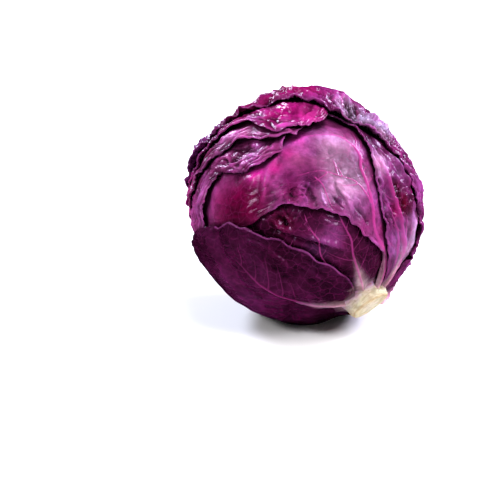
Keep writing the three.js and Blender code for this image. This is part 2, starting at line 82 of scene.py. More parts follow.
def add(tree, kind, inputs=(), **settings):
    """Adds a shader node. An input is a value, a socket, or a node that stands for its first output."""
    node = tree.nodes.new("ShaderNode" + kind)
    for name, value in settings.items():
        setattr(node, name, value)
    for socket, value in dict(inputs).items():
        source = value.outputs[0] if isinstance(value, bpy.types.Node) else value
        if isinstance(source, bpy.types.NodeSocket):
            tree.links.new(source, node.inputs[socket])
        else:
            node.inputs[socket].default_value = source
    return node


def new_material(name):
    material = bpy.data.materials.new(name)
    material.use_nodes = True
    material.node_tree.nodes.clear()
    return material, material.node_tree


def soft_box(name, place, size, power, colour):
    light = bpy.data.lights.new(name, "AREA")
    light.shape = "SQUARE"
    light.size = size
    light.energy = power
    light.color = srgb(colour)[:3]
    box = bpy.data.objects.new(name, light)
    box.location = place
    box.rotation_euler = (head_middle - Vector(place)).to_track_quat("-Z", "Y").to_euler()
    scene.collection.objects.link(box)


soft_box("left_box", (-1.0, -0.7, 0.85), 0.3, 9.0, "#ffffff")
soft_box("right_box", (0.95, -0.75, 1.0), 0.4, 14.0, "#fbf8ff")
soft_box("left_gleam", (-0.85, 0.7, 0.8), 0.35, 22.0, "#e4ebff")
soft_box("right_gleam", (0.95, 0.5, 0.75), 0.35, 22.0, "#e4ebff")

overhead = bpy.data.lights.new("overhead", "SUN")
overhead.energy = OVERHEAD_STRENGTH
overhead.angle = math.radians(OVERHEAD_ANGLE)
overhead_light = bpy.data.objects.new("overhead", overhead)
overhead_light.rotation_euler = OVERHEAD_DIRECTION.to_track_quat("-Z", "Y").to_euler()
overhead_light.visible_glossy = False
scene.collection.objects.link(overhead_light)

world = bpy.data.worlds.new("white_room")
world.use_nodes = True
world.node_tree.nodes["Background"].inputs["Color"].default_value = srgb("#ffffff")
world.node_tree.nodes["Background"].inputs["Strength"].default_value = ROOM_GLOW
world.cycles_visibility.glossy = False
scene.world = world

table_white, tree = new_material("matt_white_card")
paint = add(tree, "BsdfPrincipled", {"Base Color": srgb("#fbfafa"), "Roughness": 0.9})
add(tree, "OutputMaterial", {"Surface": paint})
table_mesh = bpy.data.meshes.new("table")
build = bmesh.new()
bmesh.ops.create_grid(build, x_segments=1, y_segments=1, size=TABLE_SIZE)
build.to_mesh(table_mesh)
build.free()
table = bpy.data.objects.new("table", table_mesh)
table.data.materials.append(table_white)
table.visible_glossy = False
scene.collection.objects.link(table)


# The head's own frame. A place on it is [around, along] in degrees: along runs from the stump (0)
# to the crown (180), and around turns about the stump's axis from the side that faces the front.
# Lengths are in millimetres until a mesh is written.
MILLIMETRE = 0.001


def compass(azimuth, elevation):
    turn, lift = math.radians(azimuth), math.radians(elevation)
    return np.array(
        [math.sin(turn) * math.cos(lift), -math.cos(turn) * math.cos(lift), math.sin(lift)]
    )


def unit(vectors):
    return vectors / np.linalg.norm(vectors, axis=-1, keepdims=True)


stump_axis = compass(47.6, -41.4)
front = compass(0, 17)
around_zero = unit(front - front.dot(stump_axis) * stump_axis)
around_quarter = np.cross(stump_axis, around_zero)


def on_head(places):
    around, along = np.radians(np.asarray(places, dtype=float)).T
    return (
        np.outer(np.cos(along), stump_axis)
        + np.outer(np.sin(along) * np.cos(around), around_zero)
        + np.outer(np.sin(along) * np.sin(around), around_quarter)
    )


def around_of(directions):
    return np.arctan2(directions @ around_quarter, directions @ around_zero)


def smooth(value):
    share = np.clip(value, 0, 1)
    return share * share * (3 - 2 * share)


def angle_to(directions, place):
    return np.arccos(np.clip(directions @ place, -1, 1))


# Heart. The tight ball of small inner leaves that everything else is wrapped round. It grew as one
# firm body, and a sliver of it shows at most between the leaf bases. Its CAD mesh is kept, and the
# wrapper leaves are laid over the same rounded shape.
HEART_RADIUS = 75.6
SPOT_DEPTH = 1.4
BULGES = [  # place, height, spread in degrees
    (compass(55, 42), -1.0, 32),
    (compass(95, 0), 2.5, 45),
    (compass(5, 20), 2.0, 50),
    (stump_axis, -7.0, 26),
]
DOWN = np.array([0.0, 0.0, -1.0])


def round_heart(directions):
    x, y, z = directions.T
    radius = HEART_RADIUS + 0.8 * np.sin(5.1 * x + 2.0 * z)
    radius += 0.7 * np.sin(4.3 * y - 3.7 * z + 1.3)
    radius += 0.5 * np.sin(7.9 * x - 5.2 * y + 0.4)
    for place, height, spread in BULGES:
        radius += height * np.exp(-((angle_to(directions, place) / math.radians(spread)) ** 2))
    return radius


heart_floor = round_heart(DOWN[None])[0] - SPOT_DEPTH


def heart_radius(directions):
    flat = heart_floor / np.maximum(-directions[:, 2], 0.5)
    full = round_heart(directions)
    return np.where(directions[:, 2] < -0.5, np.minimum(full, flat), full)


# Inner leaf skin, damp and deep purple, mottled in patches of about a centimetre.
heart_skin, tree = new_material("inner_cabbage_leaf")
in_space = add(tree, "TexCoord").outputs["Object"]
mottle = add(tree, "TexNoise", {"Vector": in_space, "Scale": 90.0, "Detail": 5.0})
colour = add(tree, "Mix", {0: mottle, 6: srgb("#3d0a2d"), 7: srgb("#7d1f63")}, data_type="RGBA")
paint = add(tree, "BsdfPrincipled", {"Base Color": colour.outputs[2], "Roughness": 0.42})
add(tree, "OutputMaterial", {"Surface": paint})
heart = bpy.data.objects["heart"]
heart.data.materials.clear()
heart.data.materials.append(heart_skin)


# Stump. The white core that carried every leaf, cut square below the head. Its flesh has dried a
# little on the cut, and its foot spreads under the leaf bases, where it turns purple.
NECK_RADIUS = 15.6
CUT_RADIUS = 15.0
SCAR_SCALE = [0.09, 0.09, 0.3]
STUMP_PROFILE = [  # distance from the axis, distance from the head's middle along the axis
    (0.0, 87.3), (3.5, 87.4), (7.0, 87.6), (10.5, 87.8), (12.8, 87.9), (14.2, 87.3), (15.0, 86.0),
    (15.4, 84.0), (15.7, 82.0), (16.2, 79.5), (17.0, 77.0), (18.2, 74.5), (20.2, 72.4), (22.6, 70.8),
    (25.5, 69.2), (29.5, 67.4), (33.0, 65.2),
]


def rough(points, seed):
    """Smooth noise between about -1 and 1, read at points of any scale."""
    shifted = points + 17.3 * seed
    return np.array([noise.noise(point) for point in shifted])


build = bmesh.new()
rim_points = [build.verts.new((across, 0, along)) for across, along in STUMP_PROFILE]
rim_edges = [build.edges.new(pair) for pair in zip(rim_points, rim_points[1:])]
bmesh.ops.spin(
    build,
    geom=[*rim_points, *rim_edges],
    cent=(0, 0, 0),
    axis=(0, 0, 1),
    angle=2 * math.pi,
    steps=96,
    use_merge=True,
    use_duplicate=False,
)
bmesh.ops.remove_doubles(build, verts=build.verts, dist=0.001)
bmesh.ops.recalc_face_normals(build, faces=build.faces)
own = np.array([vertex.co for vertex in build.verts])
across = np.hypot(own[:, 0], own[:, 1])
turn = np.arctan2(own[:, 1], own[:, 0])
foot = smooth((across - NECK_RADIUS) / 6)
swell = 0.35 * rough(own / 6.0, 3) + 0.9 * foot * np.cos(7 * turn + 1.5 * np.sin(2 * turn))
swell += 0.9 * (1 - foot) * np.sin(3 * turn + 0.7) * smooth((across - 9) / 6)
scar = 1 - np.minimum(abs(rough(own * SCAR_SCALE, 6)) * 5, 1)
swell += 0.7 * scar * smooth((across - CUT_RADIUS + 1.5) / 1.5)
own[:, :2] *= (1 + swell / np.maximum(across, 6))[:, None]
own[:, 2] += 0.35 * rough(own / 4.0, 4) * smooth((CUT_RADIUS - across) / 3)
stump_mesh = bpy.data.meshes.new("stump")
frame_axes = np.vstack([around_zero, around_quarter, stump_axis])
for vertex, co in zip(build.verts, own @ frame_axes * MILLIMETRE):
    vertex.co = Vector(co) + head_middle
for face in build.faces:
    face.smooth = True
build.to_mesh(stump_mesh)
build.free()
for name, value in {"from_axis": across, "from_middle": own[:, 2], "turn": turn}.items():
    stump_mesh.attributes.new(name, "FLOAT", "POINT").data.foreach_set("value", value.astype(np.float32))

# Cabbage core flesh: white and crisp inside, cream where it has dried, with a darker ring of
# vessels on the cut, brown blotches and leaf scars, and the leaves' purple creeping up its foot.
FACE_COLOURS = [  # from the middle of the cut to its rim
    (0.0, "#ddd2ba"), (0.4, "#dcd0b6"), (0.52, "#c8b991"), (0.62, "#d6c8a8"), (0.74, "#c4b08a"),
    (0.82, "#a88c64"), (1.0, "#bba98c"),
]
SIDE_COLOURS = [  # from the foot under the leaves to the cut
    (0.0, "#5a1a4c"), (0.3, "#8c3d7c"), (0.52, "#b07ca2"), (0.76, "#c8b4ac"), (1.0, "#cfc2a2"),
]


def fill_ramp(node, colours):
    """Sets a ramp's colours. The first and the last lie at its ends."""
    ramp = node.color_ramp
    ramp.elements[0].color = srgb(colours[0][1])
    ramp.elements[1].color = srgb(colours[-1][1])
    for position, code in colours[1:-1]:
        ramp.elements.new(position).color = srgb(code)


core_flesh, tree = new_material("cut_cabbage_core")
from_axis, from_middle, turn_about = (
    add(tree, "Attribute", attribute_name=name).outputs["Fac"]
    for name in ("from_axis", "from_middle", "turn")
)
in_space = add(tree, "TexCoord").outputs["Object"]
blotch = add(tree, "TexNoise", {"Vector": in_space, "Scale": 160.0, "Detail": 6.0, "Roughness": 0.6})
ring_place = add(tree, "Math", {0: blotch, 1: 3.0, 2: from_axis}, operation="MULTIPLY_ADD")
face_place = add(tree, "MapRange", {"Value": ring_place, "From Min": 0.0, "From Max": 20.0})
face_colour = add(tree, "ValToRGB", {"Fac": face_place})
fill_ramp(face_colour, FACE_COLOURS)
side_place = add(tree, "Math", {0: blotch, 1: 9.0, 2: from_middle}, operation="MULTIPLY_ADD")
side_share = add(tree, "MapRange", {"Value": side_place, "From Min": 74.0, "From Max": 88.0})
side_colour = add(tree, "ValToRGB", {"Fac": side_share})
fill_ramp(side_colour, SIDE_COLOURS)
on_face = add(tree, "MapRange", {"Value": from_middle, "From Min": 86.2, "From Max": 87.0})
colour = add(tree, "Mix", {0: on_face, 6: side_colour, 7: face_colour}, data_type="RGBA")
unrolled = add(tree, "CombineXYZ", {"X": turn_about, "Y": from_middle, "Z": 0.0})
stretched = add(tree, "VectorMath", {0: unrolled, 1: (1.1, 0.3, 1.0)}, operation="MULTIPLY")
scars = add(tree, "TexNoise", {"Vector": stretched, "Scale": 1.6, "Detail": 3.0})
scar_line = add(
    tree, "MapRange", {"Value": scars, "From Min": 0.47, "From Max": 0.5, "To Min": 0.0, "To Max": 0.6}
)
scar_end = add(
    tree, "MapRange", {"Value": scars, "From Min": 0.5, "From Max": 0.56, "To Min": 1.0, "To Max": 0.0}
)
scarred = add(tree, "Math", {0: scar_line, 1: scar_end}, operation="MULTIPLY")
dried = add(
    tree, "MapRange", {"Value": blotch, "From Min": 0.5, "From Max": 0.72, "To Min": 0.0, "To Max": 0.6}
)
browned = add(tree, "Math", {0: scarred, 1: dried}, operation="MAXIMUM")
flesh = add(tree, "Mix", {0: browned, 6: colour.outputs[2], 7: srgb("#94795a")}, data_type="RGBA")
fibre = add(tree, "TexNoise", {"Vector": in_space, "Scale": 420.0, "Detail": 4.0})
flesh_height = add(tree, "Math", {0: scarred, 1: -0.8, 2: fibre}, operation="MULTIPLY_ADD")
bump = add(tree, "Bump", {"Height": flesh_height, "Strength": 0.7, "Distance": 0.0012})
paint = add(
    tree,
    "BsdfPrincipled",
    {
        "Base Color": flesh.outputs[2],
        "Roughness": 0.5,
        "IOR": 1.38,
        "Subsurface Weight": 0.25,
        "Subsurface Scale": 0.003,
        "Normal": bump,
    },
)
add(tree, "OutputMaterial", {"Surface": paint})
stump_mesh.materials.append(core_flesh)
stump = bpy.data.objects.new("stump", stump_mesh)
scene.collection.objects.link(stump)
finer = stump.modifiers.new("finer", "SUBSURF")
finer.levels = 1
finer.render_levels = 1
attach(stump, "root")
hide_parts("stem")


# Wrapper leaves, how they lap. Each is a bowl-shaped sheet about a millimetre thick, joined to the
# stump by its midrib. The list runs from the innermost to the outermost. A free arc is where the
# margin lies open: it flares off the leaf below and is ruffled within a band. Crowding draws the
# rings of a leaf's net together towards its margin.
LEAF_THICKNESS = 1.0
HEART_GAP = 2.6
LAYER_STEP = 2.3
DRAPE = 20.0
DRAPE_HOLD = 8.0
HEAD_RADIUS = 84.0
MARGIN_SAMPLES = 1440


class Leaf:
    def __init__(self, name, centre, margin, free=None, pleats=None, crowding=1.5):
        self.name = name
        self.free = free
        self.pleats = pleats
        self.crowding = crowding
        self.middle = on_head([centre])[0]
        self.towards_stump = unit(stump_axis - stump_axis.dot(self.middle) * self.middle)
        self.sideways = unit(np.cross(stump_axis, self.middle))
        bearing, reach = self.polar(on_head(margin))
        order = np.argsort(bearing)
        self.knots = bearing[order], reach[order]
        if free:
            start, end = self.polar(on_head([free["start"], free["end"]]))[0]
            self.free_start = start
            self.free_length = (end - start) % (2 * math.pi)
        turns = np.arange(MARGIN_SAMPLES) * 2 * math.pi / MARGIN_SAMPLES
        self.margin_places = self.direction(turns, self.margin_reach(turns))

    def polar(self, directions):
        """A direction's bearing about the leaf's middle, and how far it lies from the middle."""
        bearing = np.arctan2(directions @ self.sideways, directions @ self.towards_stump)
        return bearing % (2 * math.pi), angle_to(directions, self.middle)

    def direction(self, bearing, reach):
        return (
            np.outer(np.cos(reach), self.middle)
            + np.outer(np.sin(reach) * np.cos(bearing), self.towards_stump)
            + np.outer(np.sin(reach) * np.sin(bearing), self.sideways)
        )

    def margin_reach(self, bearing):
        """A smooth closed curve through the margin's points, with its small lobes."""
        turns, reaches = self.knots
        count = len(turns)
        after = np.searchsorted(turns, bearing, side="right")
        spots = [after - 2, after - 1, after, after + 1]
        x = [turns[spot % count] + (spot // count) * 2 * math.pi for spot in spots]
        y = [reaches[spot % count] for spot in spots]
        span = x[2] - x[1]
        start_slope = (y[2] - y[0]) / (x[2] - x[0]) * span
        end_slope = (y[3] - y[1]) / (x[3] - x[1]) * span
        s = (bearing - x[1]) / span
        reach = (
            (2 * s**3 - 3 * s**2 + 1) * y[1]
            + (s**3 - 2 * s**2 + s) * start_slope
            + (3 * s**2 - 2 * s**3) * y[2]
            + (s**3 - s**2) * end_slope
        )
        if self.free:
            waves = self.free["waves"]
            ripple = np.sin(waves * bearing + 1) * (0.6 + 0.5 * np.sin(5 * bearing))
            ripple += 0.4 * np.sin((waves // 2) * bearing)
            circle = np.column_stack([np.cos(bearing), np.sin(bearing), 0 * bearing])
            ripple += 1.2 * rough(14 * circle, waves)
            reach = reach + self.free["lobes"] / HEAD_RADIUS * ripple * self.free_share(bearing)
        return reach

    def free_share(self, bearing):
        """1 on the free arc, 0 elsewhere, with soft ends."""
        if not self.free:
            return np.zeros_like(bearing)
        past = (bearing - self.free_start) % (2 * math.pi)
        soft = math.radians(7)
        return smooth(past / soft) * smooth((self.free_length - past) / soft)

    def depth(self, directions):
        """How far inside the margin a direction lies, in millimetres. Negative is outside."""
        bearing, reach = self.polar(directions)
        nearest = np.empty(len(directions))
        for at in range(0, len(directions), 8192):
            nearest[at:at + 8192] = (directions[at:at + 8192] @ self.margin_places.T).max(axis=1)
        distance = np.arccos(np.clip(nearest, -1, 1)) * HEAD_RADIUS
        return np.where(reach < self.margin_reach(bearing), distance, -distance)

    def edge_share(self, bearing, depth):
        return self.free_share(bearing) * (1 - smooth(depth / self.free["band"]))

    def pleat_rise(self, depth):
        return self.pleats["depth"] * smooth((depth - 6) / 18)

    def cover(self, directions):
        """What this leaf adds under every leaf that lies over it."""
        depth = self.depth(directions)
        height = np.full(len(directions), LAYER_STEP)
        if self.free:
            bearing = self.polar(directions)[0]
            lift = 0.45 * self.free["flare"] + 0.5 * self.free["ruffle"]
            height += self.edge_share(bearing, depth) * lift
        if self.pleats:
            height += self.pleat_rise(depth)
        return height * smooth((depth + DRAPE) / (DRAPE - DRAPE_HOLD))


under_leaf = Leaf(
    "under_leaf",
    centre=(-8, 58),
    margin=[
        (-22, 15), (2, 15), (20, 27), (36, 45), (44, 65), (36, 85), (12, 98), (-20, 100),
        (-44, 92), (-60, 75), (-60, 50), (-48, 28), (-36, 17),
    ],
)
main_leaf = Leaf(
    "main_leaf",
    centre=(-40, 90),
    margin=[
        (-54, 14), (-47, 15), (-43, 29), (-35, 37), (-26, 44), (-19, 56), (-9, 67), (-1, 75),
        (6, 81), (16, 83), (30, 85), (44, 90), (56, 100), (60, 110), (52, 122), (30, 134),
        (0, 137), (-30, 134), (-58, 128), (-68, 112), (-66, 92), (-62, 72), (-62, 48), (-64, 28),
        (-63, 15),
    ],
    free={
        "start": (-45, 24), "end": (24, 84),
        "band": 14, "flare": 1.3, "ruffle": 2.2, "waves": 37, "lobes": 0.65,
    },
)
right_leaf = Leaf(
    "right_leaf",
    centre=(-92, 72),
    margin=[
        (-104, 15), (-74, 15), (-55, 20), (-44, 32), (-40, 44), (-39, 56), (-41, 68), (-44, 80),
        (-47, 92), (-47, 102), (-42, 112), (-33, 120), (-36, 130), (-60, 136), (-88, 136),
        (-116, 130), (-140, 115), (-150, 90), (-146, 60), (-134, 32), (-120, 18),
    ],
    free={
        "start": (-62, 17), "end": (-36, 122),
        "band": 11, "flare": 1.4, "ruffle": 1.2, "waves": 23, "lobes": 0.5,
    },
    pleats={"every": 7.5, "depth": 1.3},
)
low_shoulder_leaf = Leaf(
    "low_shoulder_leaf",
    centre=(152, 126),
    margin=[
        (168, 15), (128, 15), (112, 28), (95, 46), (78, 68), (62, 90), (46, 110), (32, 117),
        (26, 117), (18, 110), (9, 104), (1, 102), (-6, 103), (-13, 108), (-20, 117), (-36, 132),
        (-80, 141), (-112, 134), (-142, 112), (-160, 84), (-170, 52), (-178, 28),
    ],
    free={
        "start": (-18, 112), "end": (66, 84),
        "band": 18, "flare": 1.2, "ruffle": 2.6, "waves": 33, "lobes": 1.1,
    },
)
mid_shoulder_leaf = Leaf(
    "mid_shoulder_leaf",
    centre=(178, 130),
    margin=[
        (-170, 15), (166, 15), (152, 34), (132, 62), (108, 88), (84, 110), (58, 124), (36, 130),
        (19, 127), (8, 125), (0, 119), (-4, 112), (-9, 107), (-17, 106), (-28, 111), (-46, 125),
        (-80, 132), (-110, 122), (-134, 100), (-148, 72), (-156, 42), (-162, 24),
    ],
    free={
        "start": (-26, 110), "end": (70, 118),
        "band": 16, "flare": 1.1, "ruffle": 2.5, "waves": 29, "lobes": 1.1,
    },
)
top_shoulder_leaf = Leaf(
    "top_shoulder_leaf",
    centre=(-170, 136),
    margin=[
        (-156, 15), (178, 15), (162, 36), (146, 64), (124, 92), (98, 116), (66, 132), (34, 140),
        (10, 138), (-2, 132), (-5, 123), (-9, 113), (-16, 108), (-26, 106), (-35, 107), (-44, 114),
        (-66, 120), (-92, 108), (-116, 86), (-130, 58), (-140, 32),
    ],
    free={
        "start": (-38, 108), "end": (92, 119),
        "band": 20, "flare": 1.3, "ruffle": 2.7, "waves": 27, "lobes": 1.1,
    },
)
crown_leaf = Leaf(
    "crown_leaf",
    centre=(-146, 118),
    margin=[
        (-138, 15), (-172, 15), (172, 36), (156, 66), (134, 96), (108, 122), (74, 140), (40, 145),
        (10, 145), (-10, 140), (-20, 133), (-27, 124), (-36, 115), (-46, 105), (-52, 97),
        (-57, 88), (-61, 80), (-66, 73), (-76, 64), (-92, 52), (-108, 36), (-118, 20),
    ],
    free={
        "start": (-88, 56), "end": (100, 128),
        "band": 17, "flare": 1.3, "ruffle": 2.7, "waves": 31, "lobes": 1.3,
    },
    crowding=1.2,
)
low_leaf = Leaf(
    "low_leaf",
    centre=(80, 62),
    margin=[
        (96, 15), (42, 15), (14, 18), (3, 27), (4, 37), (8, 47), (13, 57), (18, 66), (23, 76),
        (31, 88), (48, 99), (76, 106), (106, 106), (134, 98), (158, 80), (170, 56), (160, 32),
        (134, 18),
    ],
    free={
        "start": (46, 97), "end": (8, 22),
        "band": 12, "flare": 0.8, "ruffle": 1.4, "waves": 21, "lobes": 0.6,
    },
)
leaves = [
    under_leaf, main_leaf, right_leaf, low_shoulder_leaf, mid_shoulder_leaf, top_shoulder_leaf,
    crown_leaf, low_leaf,
]


# Wrapper leaves, how each is shaped. A flat net is bent over the head, raised along its veins and
# creases, puckered between them, folded and frilled towards its free margin, and given its wall.
NET = 210
SPOT_RADIUS = 18.0
SPOT_FADE = 12.0
WALL = 0.9
STALK_START = 15.0  # degrees from the stump's axis
STALK_FADE = 20.0
STALK_TURN = 5.0
STALK_RISE = 1.2
RIB_RISE = 2.4
CURL = 2.2
PALE_STALK = "#d9bccb"
DULLED = [0.98, 0.82, 0.7]  # of the tint's red, green and blue, beside the hex values
# The darkest share of its colour that painted shade leaves where another leaf laps over a leaf.
PAINTED_SHADE_UNDER_LAPS = 0.35
MARGIN_BAND = 30.0
SWELLING_SIZE = 9.0  # this and the next are how far apart the features lie, in millimetres
RUFFLE_SIZE = 15.0
SWAY_SIZE = 18.0
CROSS_FOLD_SIZE = 12.0
CROSS_PILLOW_SIZE = 15.0
PLANE_SIZE = 34.0
CLUMP_SIZE = 8.0
CLUMP_PILLOW_SIZE = 6.5
CRINKLE_SIZE = 3.6
FINE_SIZE = 3.2
CURL_SIZE = 11.0


class Line:
    """A vein or a crease: a smooth curve through places on the head."""

    def __init__(self, path, height, width, strength=1.0, tip=0.35):
        knots = path if isinstance(path, np.ndarray) else on_head(path)
        self.height = height
        self.width = width
        self.strength = strength
        self.tip = tip
        padded = np.vstack([2 * knots[0] - knots[1], knots, 2 * knots[-1] - knots[-2]])
        length = np.linalg.norm(np.diff(knots, axis=0), axis=1).sum() * HEAD_RADIUS
        steps = np.linspace(0, len(knots) - 1, max(4, int(length / 0.8)))
        at = np.minimum(steps.astype(int), len(knots) - 2)
        t = (steps - at)[:, None]
        a, b, c, d = (padded[at + k] for k in range(4))
        curve = b + 0.5 * t * (c - a + t * (2 * a - 5 * b + 4 * c - d + t * (3 * (b - c) + d - a)))
        self.points = unit(curve)
        self.shares = steps / (len(knots) - 1)


def side_veins(stem, count, length, lean, width, strength, seed, sides=(-1, 1), span=(0.12, 0.9)):
    """Veins that leave another by turns on its two sides and bend forward along it."""
    random = np.random.default_rng(seed)
    made = []
    for k in range(count):
        share = span[0] + (span[1] - span[0]) * (k + 0.25 + 0.5 * random.random()) / count
        at = min(int(share * (len(stem.points) - 1)), len(stem.points) - 2)
        start = stem.points[at]
        along = unit(stem.points[at + 1] - start)
        aside = np.cross(start, along) * sides[k % len(sides)]
        reach = length * (1 - 0.45 * share) * (0.8 + 0.4 * random.random()) / HEAD_RADIUS
        turns = math.radians(lean) * (1.15 - 0.5 * np.linspace(0, 1, 5)) * (0.9 + 0.2 * random.random(5))
        steps = np.outer(np.cos(turns), along) + np.outer(np.sin(turns), aside)
        path = unit(start + np.vstack([np.zeros(3), np.cumsum(steps, axis=0) * reach / 5]))
        made.append(Line(path, 0.6 * width, width, strength, tip=0.5))
    return made


def nearest_line(directions, lines):
    """How far the nearest line is, squared and in its own widths, with its strength and height."""
    points = np.vstack([line.points for line in lines])
    taper = np.concatenate([1 - (1 - line.tip) * line.shares for line in lines])
    size = [len(line.points) for line in lines]
    width = np.repeat([line.width for line in lines], size) * taper
    height = np.repeat([line.height for line in lines], size) * taper
    faded = [smooth(line.shares / 0.07 + 0.3) * smooth((1.04 - line.shares) / 0.4) for line in lines]
    strength = np.concatenate([line.strength * fade for line, fade in zip(lines, faded)])
    squared = np.empty(len(directions))
    found = np.empty(len(directions), dtype=int)
    for at in range(0, len(directions), 4096):
        part = slice(at, at + 4096)
        away = 2 * (1 - directions[part] @ points.T) * HEAD_RADIUS**2 / width**2
        found[part] = away.argmin(axis=1)
        squared[part] = np.maximum(away[np.arange(len(away)), found[part]], 0)
    return squared, strength[found], height[found]


def off_line(directions, line):
    """How far a line is, in millimetres, and which of its points is nearest."""
    cosine = directions @ line.points.T
    return np.sqrt(np.maximum(2 - 2 * cosine.max(axis=1), 0)) * HEAD_RADIUS, cosine.argmax(axis=1)


def crease_relief(directions, creases):
    """The heights of creases together. One side of a steep crease drops off sharply."""
    relief = np.zeros(len(directions))
    for path, height, width, steep in creases:
        crease = Line(path, height, width)
        away, found = off_line(directions, crease)
        ahead = np.gradient(crease.points, axis=0)
        side = np.einsum("ij,ij->i", np.cross(crease.points, ahead)[found], directions)
        width = crease.width * np.where(side * steep > 0, 0.4, 1.0)
        fade = smooth(crease.shares / 0.25) * smooth((1 - crease.shares) / 0.25)
        relief += crease.height * fade[found] * np.exp(-((away / width) ** 2))
    return relief


def bumps_at(directions, bumps):
    relief = np.zeros(len(directions))
    for place, height, spread in bumps:
        away = angle_to(directions, on_head([place])[0]) / math.radians(spread)
        relief += height * np.exp(-(away**2))
    return relief


def crests(value, narrow):
    """Turns noise into sharp crests where it passes through zero."""
    return 1 - np.minimum(abs(value) * narrow, 1)


def pillows(value, narrow):
    """Turns noise into round swellings with narrow clefts between them, from -1 up to 0."""
    return np.minimum(abs(value) * narrow, 1) ** 0.6 - 1


def tint_of(directions, base, zones):
    tint = np.tile(srgb(base)[:3], (len(directions), 1))
    for place, spread, code, amount in zones:
        away = angle_to(directions, on_head([place])[0]) / math.radians(spread)
        share = (amount * np.exp(-(away**3)))[:, None]
        tint = tint * (1 - share) + np.array(srgb(code)[:3]) * share
    return tint


def spread_net(leaf, x, y):
    """The square net becomes a disc whose rings close up towards the margin."""
    ring = np.maximum(abs(x), abs(y))
    wide = abs(x) >= abs(y)
    turn = np.where(
        wide,
        y / np.where(x == 0, 1, x) + np.where(x < 0, 4, 0),
        2 - x / np.where(y == 0, 1, y) + np.where(y < 0, 4, 0),
    ) * math.pi / 4
    turns = np.linspace(0, 2 * math.pi, 721)
    crowding = np.cumsum(1 + 1.3 * leaf.free_share(turns))
    crowding = (crowding - crowding[0]) / (crowding[-1] - crowding[0]) * 2 * math.pi
    bearing = np.interp(turn % (2 * math.pi), crowding, turns) % (2 * math.pi)
    return bearing, leaf.margin_reach(bearing) * (1 - (1 - ring) ** (leaf.crowding if leaf.free else 1.1))


def folded(place, spots, bearing, depth, index, folds, crumples):
    """Long folds follow the margin, others cross them, and taut planes meet in dull ridges."""
    band = 1 - smooth((depth - 16) / MARGIN_BAND)
    sway = 1.6 * rough(spots / SWAY_SIZE, index + 30)
    flow = np.column_stack([2.9 * np.cos(bearing), 2.9 * np.sin(bearing), depth / 4.6 + sway])
    along = 0.8 * crests(rough(flow, index + 40), 3.6) ** 1.3
    along += 1.1 * pillows(rough(flow * 1.2, index + 50), 4.5)
    across = 0.6 * crests(rough(spots / CROSS_FOLD_SIZE, index + 60), 3.4)
    across += 0.8 * pillows(rough(spots / CROSS_PILLOW_SIZE, index + 65), 5.0)
    fold = folds * (along * band + across * (0.22 + 0.4 * band))
    clumps = 1.6 * rough(spots / CLUMP_SIZE, index + 85)
    clumps += 1.5 * pillows(rough(spots / CLUMP_PILLOW_SIZE, index + 90), 3.2)
    clumps += 0.6 * crests(rough(spots / CRINKLE_SIZE, index + 95), 3.0)
    fold += bumps_at(place, crumples) * clumps
    fold += 1.3 * crests(rough(spots / PLANE_SIZE, index + 70), 2.0)
    return fold + 0.16 * rough(spots / FINE_SIZE, index + 75)


def coloured(place, base, zones, off_stump, off_rib, stalk, shown):
    """The leaf's own colours, paler along the stalk, with painted shade under the laps, and how whole the
    wax on them is.
    """
    tint = tint_of(place, base, zones)
    pale = (1 - smooth((off_stump - 14) / 30)) * np.exp(-((off_rib / (2.0 + 5.0 * stalk)) ** 2))
    pale = np.maximum(0.85 * pale, 0.8 * (1 - smooth((off_stump - 13) / 9)))[:, None]
    tint = tint * (1 - pale) + np.array(srgb(PALE_STALK)[:3]) * pale
    wax = 0.15 + 0.85 * smooth(tint[:, 1] / 0.05)
    # Painted shade: darker beside and under the margin of every leaf that laps over this one.
    tint = tint**1.15 * DULLED * (PAINTED_SHADE_UNDER_LAPS + (1 - PAINTED_SHADE_UNDER_LAPS) * shown)[:, None]
    return np.column_stack([tint, wax])


